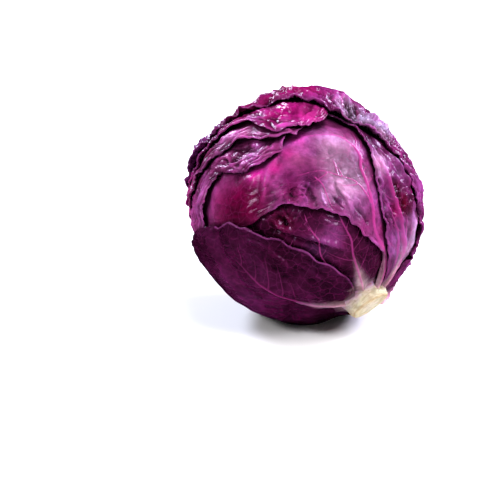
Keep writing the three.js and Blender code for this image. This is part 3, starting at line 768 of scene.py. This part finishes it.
def grow_leaf(leaf, lines, base, zones, creases, folds, pucker=0.35, bumps=(), crumples=(), hugs=()):
    """Makes a leaf's mesh and piece. The first line is its midrib."""
    index = leaves.index(leaf)
    build = bmesh.new()
    bmesh.ops.create_grid(build, x_segments=NET, y_segments=NET, size=1.0)
    mesh = bpy.data.meshes.new(leaf.name)
    bearing, reach = spread_net(leaf, *np.array([vertex.co[:2] for vertex in build.verts]).T)
    place = leaf.direction(bearing, reach)
    spots = place * HEAD_RADIUS
    depth = np.maximum(leaf.depth(place), 0)

    # Its own details fade out where another leaf lies over it, and its colour there gets painted shade.
    shown = np.ones(len(place))
    for upper in leaves[index + 1:]:
        shown = np.minimum(shown, 1 - smooth((upper.depth(place) + 4) / 7))
    off = angle_to(place, DOWN) * HEAD_RADIUS
    pressed = 1 - smooth((off - SPOT_RADIUS) / SPOT_FADE)
    # The spot pressed flat on the table counts as covered as well, so its colour gets the same painted
    # shade.
    if index == len(leaves) - 1:
        shown *= 1 - pressed

    off_stump = np.degrees(angle_to(place, stump_axis))
    stalk = 1 - smooth((off_stump - STALK_START) / STALK_FADE)
    radius = heart_radius(place) + HEART_GAP + LEAF_THICKNESS
    for lower in leaves[:index]:
        radius += lower.cover(place)
    edge = np.zeros(len(place))
    if leaf.free:
        loose = 1 - np.minimum(bumps_at(place, hugs), 1)
        edge = leaf.edge_share(bearing, depth) * loose
        swing = 0.25 * np.sin(leaf.free["waves"] * bearing) + 0.9 * rough(spots / RUFFLE_SIZE, index)
        lift = 0.45 * leaf.free["flare"] + 0.75 * leaf.free["ruffle"] * np.clip(0.45 + swing, 0, 1.1)
        radius += edge * lift - 1.3 * (1 - loose) * (1 - smooth(depth / 22))
    if leaf.pleats:
        swing = 1.5 * np.sin(3 * place[:, 2]) + 1.5 * rough(place * 3.0, 5)
        phase = around_of(place) * 360 / leaf.pleats["every"] + swing
        radius += leaf.pleat_rise(depth) * (0.5 + 0.5 * np.cos(phase))

    # Veins stand up, the sheet swells between them, and traced creases run either way.
    squared, strength, height = nearest_line(place, lines)
    relief = height * np.exp(-squared)
    relief += pucker * shown * (1 - np.exp(-squared / 30)) * (1 + rough(spots / SWELLING_SIZE, index + 20))
    relief += (crease_relief(place, creases) + bumps_at(place, bumps)) * shown

    fold = folded(place, spots, bearing, depth, index, folds, crumples)
    relief += fold * shown * (1 - 0.85 * stalk)
    if leaf.free:
        lip = leaf.edge_share(bearing, depth) * np.exp(-(((depth - 0.9) / 0.9) ** 2))
        relief += lip * (0.5 + 0.7 * rough(spots / SWELLING_SIZE, index + 15))

    # The stalk end thickens, runs on to the stump and turns up along it.
    off_rib = off_line(place, lines[0])[0]
    radius += relief + stalk * (STALK_RISE + RIB_RISE * np.exp(-((off_rib / 4.5) ** 2)))
    towards = unit(stump_axis - np.cos(np.radians(off_stump))[:, None] * place)
    turned = np.radians(STALK_TURN) * stalk[:, None]
    bent = place * np.cos(turned) + towards * np.sin(turned)

    # The lowest leaf lies flat on the table.
    if index == len(leaves) - 1:
        table_reach = HEAD_HEIGHT / MILLIMETRE / np.maximum(-place[:, 2], 0.5)
        below = place[:, 2] < -0.5
        radius = np.where(below, np.minimum(table_reach, radius + pressed * (table_reach - radius)), radius)

    away = (place * np.cos(reach)[:, None] - leaf.middle) / np.maximum(np.sin(reach), 0.05)[:, None]
    curl = edge**2 * shown * rough(spots / CURL_SIZE, index + 80) * CURL * (1 - stalk)
    spot = bent * radius[:, None] + away * curl[:, None] + np.array([0, 0, HEAD_HEIGHT / MILLIMETRE])
    spot[:, 2] = np.maximum(spot[:, 2], 0)

    for vertex, co in zip(build.verts, spot * MILLIMETRE):
        vertex.co = co
    build.normal_update()
    build.faces.ensure_lookup_table()
    first = build.faces[NET * NET // 2]
    if first.normal.dot(first.calc_center_median() - head_middle) < 0:
        bmesh.ops.reverse_faces(build, faces=build.faces)
    for face in build.faces:
        face.smooth = True
    build.to_mesh(mesh)
    build.free()

    tint = coloured(place, base, zones, off_stump, off_rib, stalk, shown)
    colours = tint.ravel().astype(np.float32)
    mesh.attributes.new("tint", "FLOAT_COLOR", "POINT").data.foreach_set("color", colours)
    values = {
        "vein_distance": np.minimum(squared, 25),
        "vein_strength": strength * smooth((off_stump - 12) / 12),
        "edge_depth": np.where(leaf.free_share(bearing) > 0.3, depth, 30),
        "relief": relief,
    }
    for name, value in values.items():
        mesh.attributes.new(name, "FLOAT", "POINT").data.foreach_set("value", value.astype(np.float32))
    flat = reach[:, None] * HEAD_RADIUS * np.column_stack([np.sin(bearing), np.cos(bearing), 0 * bearing])
    mesh.attributes.new("leaf_plane", "FLOAT_VECTOR", "POINT").data.foreach_set(
        "vector", (flat + [37.0 * index, 0, 0]).ravel().astype(np.float32)
    )
    mesh.materials.append(leaf_skin)
    piece = bpy.data.objects.new(leaf.name.replace("_leaf", "_wrapper"), mesh)
    scene.collection.objects.link(piece)
    wall = piece.modifiers.new("wall", "SOLIDIFY")
    wall.thickness = WALL * MILLIMETRE
    wall.offset = -1
    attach(piece, "root")
    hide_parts(leaf.name)


# The skin of every wrapper leaf: living cabbage leaf under its own wax. Anthocyanin purple shows
# through a thin, uneven white bloom, veins are pinker and nearly bare, and the wax gives a satin
# gloss that is sharper on rubbed ridges.
leaf_skin, tree = new_material("waxy_red_cabbage_leaf")
tint = add(tree, "Attribute", attribute_name="tint")
plane = add(tree, "Attribute", attribute_name="leaf_plane").outputs["Vector"]
vein_distance, vein_strength, edge_depth, relief = (
    add(tree, "Attribute", attribute_name=name).outputs["Fac"]
    for name in ("vein_distance", "vein_strength", "edge_depth", "relief")
)
in_space = add(tree, "TexCoord").outputs["Object"]

# Cloudy depth of colour, patches about 12 mm across with 2 mm flecks in them. Painted shade darkens the
# hollows of the relief and the fine wrinkles, and painted light brightens the crests.
cloud = add(tree, "TexNoise", {"Vector": in_space, "Scale": 80.0, "Detail": 6.0, "Roughness": 0.62})
cloud_range = add(
    tree,
    "MapRange",
    {"Value": cloud, "From Min": 0.34, "From Max": 0.66, "To Min": 0.66, "To Max": 1.2},
    interpolation_type="SMOOTHSTEP",
)
# Painted shade in the hollows and painted light on the crests, read from the leaf's relief.
painted_relief_shading = add(
    tree,
    "MapRange",
    {"Value": relief, "From Min": -1.0, "From Max": 2.4, "To Min": 0.27, "To Max": 1.3},
    interpolation_type="SMOOTHSTEP",
)
wrinkle = add(tree, "TexNoise", {"Vector": in_space, "Scale": 210.0, "Detail": 5.0, "Roughness": 0.6})
# Painted shade in the fine wrinkles: the noise that raises them also darkens their low parts.
wrinkle_painted_shade = add(
    tree, "MapRange", {"Value": wrinkle, "From Min": 0.36, "From Max": 0.6, "To Min": 0.72, "To Max": 1.1}
)
shade = add(tree, "Math", {0: cloud_range, 1: wrinkle_painted_shade}, operation="MULTIPLY")
mottle_and_painted_shade = add(tree, "Math", {0: shade, 1: painted_relief_shading}, operation="MULTIPLY")
deep = add(tree, "VectorMath", {0: tint.outputs["Color"], "Scale": mottle_and_painted_shade}, operation="SCALE")

# The finest veins, a net with meshes about 7 mm across, bent so that no line is straight, and
# the raised veins with them in one mask.
bend = add(tree, "TexNoise", {"Vector": plane, "Scale": 0.13, "Detail": 3.0})
bent = add(
    tree,
    "VectorMath",
    {0: bend.outputs["Color"], 1: (7.0, 7.0, 0.0), 2: plane},
    operation="MULTIPLY_ADD",
)
net = add(
    tree,
    "TexVoronoi",
    {"Vector": bent, "Scale": 0.14},
    feature="DISTANCE_TO_EDGE",
    voronoi_dimensions="2D",
)
net_line = add(
    tree,
    "MapRange",
    {"Value": net, "From Min": 0.01, "From Max": 0.07, "To Min": 1.0, "To Max": 0.0},
    interpolation_type="SMOOTHSTEP",
)
vein_line = add(
    tree,
    "MapRange",
    {"Value": vein_distance, "From Min": 0.4, "From Max": 2.6, "To Min": 1.0, "To Max": 0.0},
    interpolation_type="SMOOTHSTEP",
)
vein_mask = add(tree, "Math", {0: vein_line, 1: vein_strength}, operation="MULTIPLY")
net_share = add(tree, "Math", {0: vein_strength, 1: 0.12, 2: 0.05}, operation="MULTIPLY_ADD")
net_mask = add(tree, "Math", {0: net_line, 1: net_share}, operation="MULTIPLY")
all_veins = add(tree, "Math", {0: vein_mask, 1: net_mask}, operation="MAXIMUM")
veined = add(tree, "Mix", {0: all_veins, 6: deep, 7: srgb("#a5307a")}, data_type="RGBA")

# White bloom, rubbed off in patches and along the veins. It lies thicker on the crests, partly as painted
# light on them.
bloom = add(tree, "TexNoise", {"Vector": in_space, "Scale": 38.0, "Detail": 7.0, "Roughness": 0.66})
# Painted light: the relief raises the bloom on the crests.
bloom_and_crest_light = add(tree, "Math", {0: relief, 1: 0.06, 2: bloom}, operation="MULTIPLY_ADD")
bloom_range = add(
    tree,
    "MapRange",
    {"Value": bloom_and_crest_light, "From Min": 0.5, "From Max": 0.78, "To Min": 0.0, "To Max": 0.8},
    interpolation_type="SMOOTHSTEP",
)
bare = add(tree, "Math", {0: tint.outputs["Alpha"], 1: vein_mask}, operation="SUBTRACT", use_clamp=True)
bloom_mask = add(tree, "Math", {0: bloom_range, 1: bare}, operation="MULTIPLY")
lifted = add(
    tree,
    "VectorMath",
    {0: veined.outputs[2], 1: (1.8, 2.6, 2.5), 2: (0.012, 0.006, 0.02)},
    operation="MULTIPLY_ADD",
)
dusted = add(tree, "Mix", {0: bloom_mask, 6: veined.outputs[2], 7: lifted}, data_type="RGBA")

# The thin rim is painted paler in patches, a painted highlight where the lip catches the light.
rim = add(
    tree,
    "MapRange",
    {"Value": edge_depth, "From Min": 0.4, "From Max": 1.6, "To Min": 0.42, "To Max": 0.0},
    interpolation_type="SMOOTHSTEP",
)
rim_patches = add(
    tree, "MapRange", {"Value": bloom, "From Min": 0.38, "From Max": 0.6, "To Min": 0.1, "To Max": 1.0}
)
# Painted highlight along the rim.
rim_highlight_mask = add(tree, "Math", {0: rim, 1: rim_patches}, operation="MULTIPLY")
rim_highlighted = add(tree, "Mix", {0: rim_highlight_mask, 6: dusted.outputs[2], 7: srgb("#9a4488")}, data_type="RGBA")

# Fine grain of the wax, about half a millimetre, wrinkles of 2 mm, and the veins as low ridges.
grain = add(tree, "TexNoise", {"Vector": in_space, "Scale": 900.0, "Detail": 3.0})
grain_height = add(tree, "Math", {0: grain, 1: 0.05}, operation="MULTIPLY")
wrinkle_height = add(tree, "Math", {0: wrinkle, 1: 0.6, 2: grain_height}, operation="MULTIPLY_ADD")
height = add(tree, "Math", {0: all_veins, 1: 0.3, 2: wrinkle_height}, operation="MULTIPLY_ADD")
bump = add(tree, "Bump", {"Height": height, "Strength": 0.6, "Distance": 0.0012})
dull = add(
    tree,
    "MapRange",
    {"Value": bloom_and_crest_light, "From Min": 0.35, "From Max": 0.75, "To Min": 0.08, "To Max": 0.3},
)
gloss = add(tree, "Math", {0: dull, 1: tint.outputs["Alpha"], 2: 0.16}, operation="MULTIPLY_ADD")
paint = add(
    tree,
    "BsdfPrincipled",
    {
        "Base Color": rim_highlighted.outputs[2],
        "Roughness": gloss,
        "IOR": 1.3,
        "Specular Tint": (0.95, 0.5, 1.0, 1.0),
        "Coat Weight": 0.12,
        "Coat Roughness": 0.16,
        "Normal": bump,
    },
)
add(tree, "OutputMaterial", {"Surface": paint})


# Under leaf. The innermost one that shows, dark and taut, with a long fold and a torn, hooked
# shred under the broken edge of the main leaf.
under_midrib = Line([(-8, 16), (-11, 39), (-14, 49), (-14, 62), (-18, 86)], 0.9, 0.9, 0.5)
under_second = Line([(8, 26), (8, 48), (3, 57), (3, 62), (4, 67), (6, 76)], 0.6, 0.6, 0.6)
grow_leaf(
    under_leaf,
    [
        under_midrib,
        under_second,
        Line([(20, 48), (19, 62), (16, 64), (12, 66)], 0.5, 0.5, 0.5),
        Line([(3, 60), (2, 68), (0, 76)], 0.4, 0.45, 0.6),
        *side_veins(under_midrib, 10, 32, 48, 0.4, 0.35, seed=3),
        *side_veins(under_second, 5, 16, 48, 0.35, 0.35, seed=4),
    ],
    creases=[
        ([(26, 82), (16, 79), (15, 72), (10, 65), (2, 56), (-6, 48), (-12, 40)], 2.8, 3.0, -1),
        ([(24, 78), (17, 73), (12, 66), (4, 56), (-3, 48)], -1.8, 1.6, 0),
        ([(7, 82), (8, 79), (9, 75), (9, 70)], 2.6, 1.2, 1),
        ([(9, 70), (5, 72), (0, 74), (-4, 77)], 1.8, 1.2, -1),
        ([(18, 82), (13, 80), (9, 79)], 1.8, 1.2, 0),
        ([(17, 79), (15, 74), (11, 70)], 1.8, 1.2, 0),
        ([(12, 79), (11, 75), (12, 72)], -1.6, 1.3, 0),
        ([(-6, 70), (-6, 58), (-5, 48)], 0.9, 4.0, 0),
    ],
    crumples=[((11, 77), 2.0, 5.5)],
    folds=0.35,
    pucker=0.5,
    base="#441038",
    zones=[
        ((-5, 58), 9, "#6c2c64", 0.8),
        ((8, 55), 6, "#4c2450", 0.6),
        ((-6, 68), 7, "#3a1030", 0.7),
        ((12, 76), 7, "#5a0c38", 0.8),
    ],
)


# Main leaf. The big smooth one across the middle, with a torn, crumpled lower edge. It is lilac where its
# bloom is whole, with a painted sheen, and deep magenta darkened by painted shade on the side that turns
# away to the left.
main_midrib = Line(
    [(-54, 15), (-46, 30), (-33, 43), (-32, 50), (-34, 57), (-36, 71), (-37, 78), (-40, 83), (-40, 88),
     (-37, 94), (-33, 98), (-24, 102), (-18, 103), (-8, 104)],
    1.2, 1.3, 0.85, tip=0.5,
)
main_b = Line(
    [(-34, 60), (-33, 65), (-30, 73), (-23, 79), (-18, 84), (-11, 87), (-8, 88), (-5, 94)], 0.6, 0.6, 0.85
)
main_second = Line(
    [(-23, 79), (-24, 82), (-25, 86), (-24, 90), (-23, 95), (-20, 99), (-14, 104)], 0.6, 0.6, 0.45
)
main_ridge = Line([(-8, 104), (-3, 101), (2, 98), (8, 94), (9, 92), (13, 88), (17, 84)], 0.5, 1.4, 0.6)
grow_leaf(
    main_leaf,
    [
        main_midrib,
        main_b,
        main_second,
        main_ridge,
        Line([(-5, 95), (-6, 90), (-7, 85), (-8, 80)], 0.5, 0.5, 0.7),
        Line([(-12, 86), (-14, 79), (-13, 73), (-12, 68), (-13, 64)], 0.5, 0.5, 0.85),
        *side_veins(main_midrib, 11, 26, 50, 0.55, 0.7, seed=11, sides=(-1,), span=(0.3, 0.95)),
        *side_veins(main_b, 7, 17, 50, 0.5, 0.65, seed=12),
        *side_veins(main_second, 4, 14, 45, 0.35, 0.4, seed=14),
    ],
    creases=[
        ([(-12, 106), (-8, 103), (-3, 101), (2, 98), (8, 94), (9, 92), (13, 88), (17, 83)], 2.6, 2.8, 1),
        ([(22, 96), (16, 97), (12, 99), (9, 102)], 1.2, 1.5, 1),
        ([(24, 90), (19, 91), (14, 95)], 1.0, 1.5, -1),
        ([(-40, 86), (-37, 94), (-33, 98), (-24, 102), (-18, 103), (-8, 103)], 1.4, 3.0, -1),
        ([(-8, 103), (-18, 104), (-20, 99), (-23, 95), (-24, 90), (-25, 86), (-24, 80)], 1.0, 2.4, 0),
        ([(17, 103), (11, 101), (5, 100)], 0.8, 1.4, 0),
        ([(-20, 78), (-19, 73), (-20, 68), (-19, 61)], -1.5, 1.6, 1),
        ([(-15, 73), (-16, 67), (-17, 63)], -1.2, 1.3, 1),
        ([(-12, 78), (-10, 73), (-9, 68)], 1.4, 1.3, -1),
        ([(-8, 77), (-6, 72), (-5, 70)], -1.2, 1.2, 0),
        ([(-22, 64), (-26, 56), (-27, 51)], -1.2, 2.2, -1),
        ([(0, 90), (1, 88), (1, 85), (5, 83), (7, 81)], 2.0, 1.1, 1),
        ([(4, 84), (4, 80), (3, 76)], 1.8, 1.2, -1),
        ([(0, 86), (0, 84), (1, 81)], -2.2, 1.2, 0),
        ([(-3, 84), (-3, 82), (-1, 79)], 1.4, 1.0, 0),
        ([(-3, 82), (-4, 80), (-4, 77), (-3, 74)], 1.9, 1.1, 1),
        ([(-6, 84), (-7, 81), (-7, 77), (-5, 74)], -1.8, 1.5, 0),
        ([(2, 88), (0, 87), (-4, 84), (-7, 80)], 1.7, 1.1, 1),
        ([(12, 89), (9, 88), (5, 87), (3, 89)], 1.5, 1.1, 0),
        ([(8, 90), (7, 87), (9, 84)], -1.4, 1.4, 0),
        ([(7, 96), (5, 92), (4, 88)], 1.0, 1.6, 0),
        ([(-2, 80), (-4, 84), (-8, 87)], 1.6, 0.8, 1),
        ([(-1, 80), (-2, 85), (-5, 90)], 1.6, 0.8, -1),
        ([(0, 80), (1, 86), (-1, 91)], 1.6, 0.8, 1),
        ([(-3, 78), (-7, 81), (-10, 83)], 1.5, 0.8, -1),
    ],
    crumples=[((-1, 82), 1.2, 7)],
    folds=0.3,
    pucker=0.4,
    base="#8a3c80",
    zones=[
        # The dark zones on the left side are partly painted shade, and the big lilac zones partly a painted
        # sheen.
        ((34, 96), 15, "#6c0c48", 0.85),
        ((22, 93), 15, "#660040", 1.0),
        ((9, 101), 4.5, "#c0289c", 0.8),
        ((-9, 100), 3.5, "#b43494", 0.7),
        ((0, 98), 3.5, "#a82084", 0.75),
        ((-15, 101), 4, "#8c3c7c", 0.8),
        ((-11, 95), 4, "#8e4880", 0.75),
        ((-2, 89), 5, "#5c1650", 0.85),
        ((0, 83), 6, "#621048", 0.85),
        ((-29, 90), 10, "#a884b0", 0.85),
        ((-26, 75), 10, "#b090bc", 0.85),
        ((-13, 74), 5, "#a880b8", 0.6),
        ((-20, 94), 3, "#4c1848", 0.8),
        ((-11, 83), 5, "#6c2868", 0.8),
        ((-17, 69), 2.5, "#4a1c50", 0.8),
        ((-23, 55), 6, "#7c2c6c", 0.8),
        ((-28, 106), 7, "#8a4c88", 0.6),
        ((-18, 108), 6, "#a8208c", 0.6),
        ((-40, 44), 6, "#8a2468", 0.6),
        ((-24, 62), 7, "#9460a0", 0.6),
    ],
)


# Right leaf. It stands on edge to the viewer and is drawn into long folds from stump to crown.
right_midrib = Line(
    [(-90, 15), (-74, 26), (-66, 32), (-57, 41), (-53, 48), (-51, 55), (-49, 64), (-49, 70), (-48, 76),
     (-47, 86)],
    1.4, 1.3, 0.6, tip=0.5,
)
grow_leaf(
    right_leaf,
    [
        right_midrib,
        Line([(-61, 26), (-53, 40), (-48, 47), (-45, 54), (-42, 62)], 0.8, 0.8, 0.5),
        *side_veins(right_midrib, 12, 40, 34, 0.45, 0.4, seed=21),
    ],
    creases=[
        ([(-78, 22), (-66, 32), (-57, 41), (-53, 48), (-51, 55), (-50, 60), (-49, 70), (-47, 84),
          (-46, 92)], 2.4, 3.2, 1),
        ([(-44, 82), (-43, 76), (-42, 72), (-43, 66)], -1.8, 1.3, 0),
        ([(-55, 72), (-57, 67), (-66, 61), (-68, 58), (-66, 53)], 2.2, 1.9, 1),
        ([(-54, 92), (-58, 84), (-61, 76), (-67, 69), (-75, 63), (-82, 54)], 2.0, 2.4, 1),
        ([(-50, 88), (-54, 80), (-56, 74), (-60, 69)], 1.3, 1.8, -1),
        ([(-72, 54), (-72, 48), (-70, 40), (-70, 30)], 2.2, 2.0, -1),
        ([(-84, 52), (-86, 45), (-89, 38), (-98, 28)], 2.2, 2.4, -1),
        ([(-62, 50), (-62, 42), (-64, 32)], 1.6, 1.8, 1),
        ([(-41, 71), (-43, 70), (-45, 66)], 1.8, 1.2, 0),
        ([(-40, 68), (-40, 60), (-41, 51), (-44, 44)], -1.6, 1.5, 0),
        ([(-42, 64), (-45, 54), (-48, 47), (-53, 40), (-61, 30)], 1.6, 1.8, -1),
        ([(-52, 70), (-53, 65), (-53, 60)], -2.0, 2.2, 0),
        ([(-55, 62), (-56, 55), (-58, 50)], -2.0, 2.4, 0),
        ([(-70, 62), (-72, 58), (-73, 52)], -1.8, 2.2, 0),
    ],
    crumples=[((-58, 59), 1.0, 8), ((-44, 52), 0.6, 6), ((-50, 78), 0.5, 6)],
    folds=0.6,
    pucker=0.4,
    base="#6c2c66",
    zones=[
        ((-46, 77), 6, "#b080b4", 0.85),
        # These dark wine patches lie in the hollows between the folds: partly the leaf's own colour, partly
        # painted shade.
        ((-54, 63), 4, "#4a0020", 0.95),
        ((-59, 56), 5, "#5c0028", 0.95),
        ((-64, 52), 4, "#40001a", 0.9),
        ((-71, 58), 5, "#480020", 0.8),
        ((-51, 54), 4, "#8c1464", 0.8),
        ((-63, 73), 7, "#6a3a70", 0.6),
        ((-76, 66), 6, "#a01c80", 0.6),
        ((-84, 36), 14, "#9c7ca4", 0.8),
        ((-62, 38), 9, "#7c4a80", 0.7),
    ],
)


# Shoulder leaves. Three whose frilled margins lie over each other like steps at the upper left.
low_shoulder_midrib = Line([(150, 16), (130, 50), (100, 86), (66, 112), (30, 124)], 1.0, 1.4, 0.6)
grow_leaf(
    low_shoulder_leaf,
    [low_shoulder_midrib, *side_veins(low_shoulder_midrib, 18, 46, 48, 0.5, 0.45, seed=31)],
    creases=[
        ([(30, 120), (25, 118), (19, 115), (16, 110), (11, 105)], 2.0, 1.6, -1),
        ([(11, 107), (7, 109), (4, 108), (2, 105)], 1.5, 0.9, 1),
        ([(20, 118), (17, 118), (9, 119), (1, 120)], -2.2, 2.2, 0),
        ([(14, 110), (12, 111), (7, 112), (4, 114)], 1.3, 1.6, 0),
        ([(0, 108), (-4, 108), (-8, 107)], 1.2, 1.2, 0),
    ],
    hugs=[((62, 88), 0.8, 18), ((100, 60), 0.8, 24)],
    folds=1.6,
    base="#86387a",
    crumples=[((4, 107), 0.8, 5), ((26, 116), 0.7, 8)],
    zones=[((8, 112), 7, "#8c4484", 0.7), ((12, 106), 3, "#780c58", 0.6), ((44, 112), 14, "#6c3464", 0.6)],
)
mid_shoulder_midrib = Line([(178, 16), (160, 60), (130, 100), (90, 126), (50, 138)], 1.0, 1.4, 0.6)
grow_leaf(
    mid_shoulder_leaf,
    [mid_shoulder_midrib, *side_veins(mid_shoulder_midrib, 18, 46, 48, 0.5, 0.45, seed=41)],
    creases=[
        ([(44, 126), (32, 125), (19, 121), (12, 122), (6, 123), (2, 122)], 2.6, 2.0, 1),
        ([(36, 130), (24, 128), (14, 128), (6, 128)], -1.8, 1.8, 0),
        ([(0, 120), (-2, 115), (-6, 110), (-10, 108)], 1.2, 1.6, -1),
    ],
    hugs=[((84, 110), 0.6, 16)],
    folds=1.6,
    base="#903c7c",
    crumples=[((30, 124), 0.9, 10)],
    zones=[
        ((-3, 116), 7, "#a04894", 0.7),
        ((20, 124), 10, "#8a5c90", 0.6),
        ((34, 128), 14, "#6c3060", 0.6),
    ],
)
top_shoulder_midrib = Line([(-168, 16), (-172, 60), (170, 104), (130, 140), (60, 152)], 1.0, 1.4, 0.6)
grow_leaf(
    top_shoulder_leaf,
    [top_shoulder_midrib, *side_veins(top_shoulder_midrib, 18, 46, 48, 0.5, 0.45, seed=51)],
    creases=[
        ([(-2, 133), (-4, 131), (-5, 126), (-12, 124), (-18, 122)], 1.5, 1.5, -1),
        ([(-10, 129), (-15, 127), (-20, 123), (-23, 118), (-30, 115)], 1.6, 2.2, 1),
        ([(-10, 122), (-13, 121), (-17, 117)], -1.2, 1.4, 0),
        ([(-17, 106), (-19, 107), (-24, 110), (-31, 113)], 1.8, 1.4, 1),
        ([(-21, 105), (-26, 107), (-33, 107)], 1.5, 1.3, -1),
        ([(4, 130), (-2, 126), (-6, 121)], 1.0, 1.4, 0),
    ],
    folds=1.3,
    base="#8c2470",
    crumples=[((-22, 108), 0.6, 6), ((40, 134), 0.8, 16)],
    zones=[
        ((-19, 118), 7, "#960a74", 0.9),
        ((-14, 113), 5, "#a83a94", 0.7),
        ((-5, 127), 6, "#8a3a84", 0.7),
        ((40, 136), 20, "#4e1c50", 0.7),
    ],
)


# Crown leaf. The outermost big one. It wraps the whole back and laps over the crown, where its margin has
# dried a little and crinkled into clumps, pale on top with bloom and painted glints.
crown_midrib = Line([(-150, 16), (-150, 60), (-146, 105), (-110, 140), (-50, 142)], 2.4, 2.8, 0.42, tip=0.2)
crown_laterals = side_veins(crown_midrib, 16, 118, 52, 1.3, 0.5, seed=61)
crown_lines = [crown_midrib, *crown_laterals]
for number, lateral in enumerate(crown_laterals):
    crown_lines += side_veins(lateral, 8, 34, 50, 0.9, 0.3, seed=70 + number)
grow_leaf(
    crown_leaf,
    crown_lines,
    creases=[
        ([(16, 158), (9, 158), (-1, 146), (-6, 139), (-12, 138), (-22, 141), (-32, 140)], 2.4, 2.2, -1),
        ([(12, 148), (5, 146), (-3, 137)], -1.8, 1.6, 0),
        ([(36, 154), (30, 155), (17, 157), (10, 158)], 2.0, 2.2, 0),
        ([(-52, 154), (-46, 150), (-36, 134), (-36, 127), (-42, 121)], 1.8, 1.8, 1),
        ([(-46, 156), (-39, 150), (-28, 135), (-31, 127)], -1.5, 1.5, 0),
        ([(20, 138), (14, 137), (8, 135), (3, 132), (-4, 132)], 2.2, 1.5, 1),
        ([(24, 131), (18, 130), (14, 135)], -2.2, 1.8, 0),
        ([(36, 136), (30, 134), (22, 132), (16, 136)], 2.2, 1.8, 1),
        ([(58, 142), (50, 142), (42, 138), (34, 140)], 2.0, 1.8, 1),
        ([(56, 146), (48, 149), (42, 151)], 1.8, 2.0, 0),
        ([(-30, 128), (-34, 124), (-40, 120), (-44, 115), (-43, 110), (-47, 107), (-51, 104)], 2.0, 1.5, 1),
        ([(-52, 120), (-48, 117), (-47, 111), (-50, 109)], -2.4, 1.7, 0),
        ([(-56, 124), (-58, 120), (-60, 115), (-58, 109), (-56, 105)], 2.6, 1.8, 1),
        ([(-50, 103), (-56, 103), (-66, 103), (-68, 98), (-70, 91)], 3.0, 2.0, -1),
        ([(-48, 102), (-50, 98), (-54, 95), (-55, 91), (-59, 86), (-60, 82), (-65, 76)], 1.6, 1.5, 1),
        ([(-54, 98), (-60, 93), (-67, 90), (-72, 86)], -2.4, 1.6, 0),
        ([(-62, 110), (-70, 108), (-76, 102)], -2.0, 2.0, 0),
        ([(-22, 134), (-26, 128), (-30, 123), (-35, 116)], 1.2, 1.1, 0),
    ],
    bumps=[
        ((-60, 128), 1.6, 6), ((-73, 122), 1.6, 6), ((-58, 107), -4.4, 4.5), ((-67, 98), 2.8, 5),
        ((-50, 116), 2.0, 4), ((-62, 117), 2.4, 4), ((-80, 92), 1.2, 6),
        ((-40, 151), 3.0, 8), ((-43, 139), -1.0, 4), ((30, 146), -2.4, 6), ((40, 152), 1.0, 8),
        ((50, 146), 1.6, 6), ((-80, 78), -1.0, 14),
    ],
    crumples=[((-57, 106), 2.1, 11), ((-64, 92), 1.3, 7), ((36, 142), 1.0, 18), ((-34, 138), 0.8, 13)],
    hugs=[
        ((-78, 62), 1.0, 20), ((-70, 74), 0.7, 10), ((-10, 138), 0.75, 13), ((-40, 112), 0.6, 8),
        ((-57, 85), 0.7, 8),
    ],
    folds=2.6,
    pucker=0.6,
    base="#702466",
    zones=[
        ((-150, 80), 60, "#6a3264", 0.7),
        ((-170, 64), 20, "#885a88", 0.5),
        ((-122, 92), 18, "#7c4c7c", 0.6),
        ((-160, 112), 16, "#6c2060", 0.7),
        ((170, 90), 14, "#641a58", 0.7),
        ((60, 134), 34, "#4e2058", 0.7),
        ((-20, 140), 20, "#701050", 0.85),
        ((-40, 130), 9, "#881060", 0.8),
        # The greyish lilac on the two crinkled clumps is bloom together with painted glints on their
        # crests.
        ((-57, 106), 10, "#80708e", 0.8),
        ((-64, 93), 7, "#80708e", 0.7),
        ((-78, 62), 16, "#843c80", 0.6),
    ],
)


# Low leaf. The outermost at the lower left, that the head lies on, dark and dull: a deep purple darkened
# further by painted shade. The table has pressed it flat on one small spot, which gets painted shade too.
low_midrib = Line([(60, 16), (56, 36), (50, 58), (46, 84)], 1.0, 1.5, 0.3)
grow_leaf(
    low_leaf,
    [low_midrib, *side_veins(low_midrib, 13, 44, 50, 0.5, 0.16, seed=81)],
    creases=[
        ([(32, 84), (27, 72), (26, 62), (27, 52)], 1.6, 2.6, 1),
        ([(38, 80), (34, 66), (34, 54), (36, 44)], -1.0, 2.6, 0),
        ([(22, 58), (20, 48), (20, 38)], 1.2, 2.0, 0),
    ],
    folds=0.5,
    # Its dark base colour is partly painted shade.
    base="#3e0c34",
    zones=[((24, 66), 10, "#340828", 0.7), ((80, 66), 34, "#581c50", 0.7)],
)
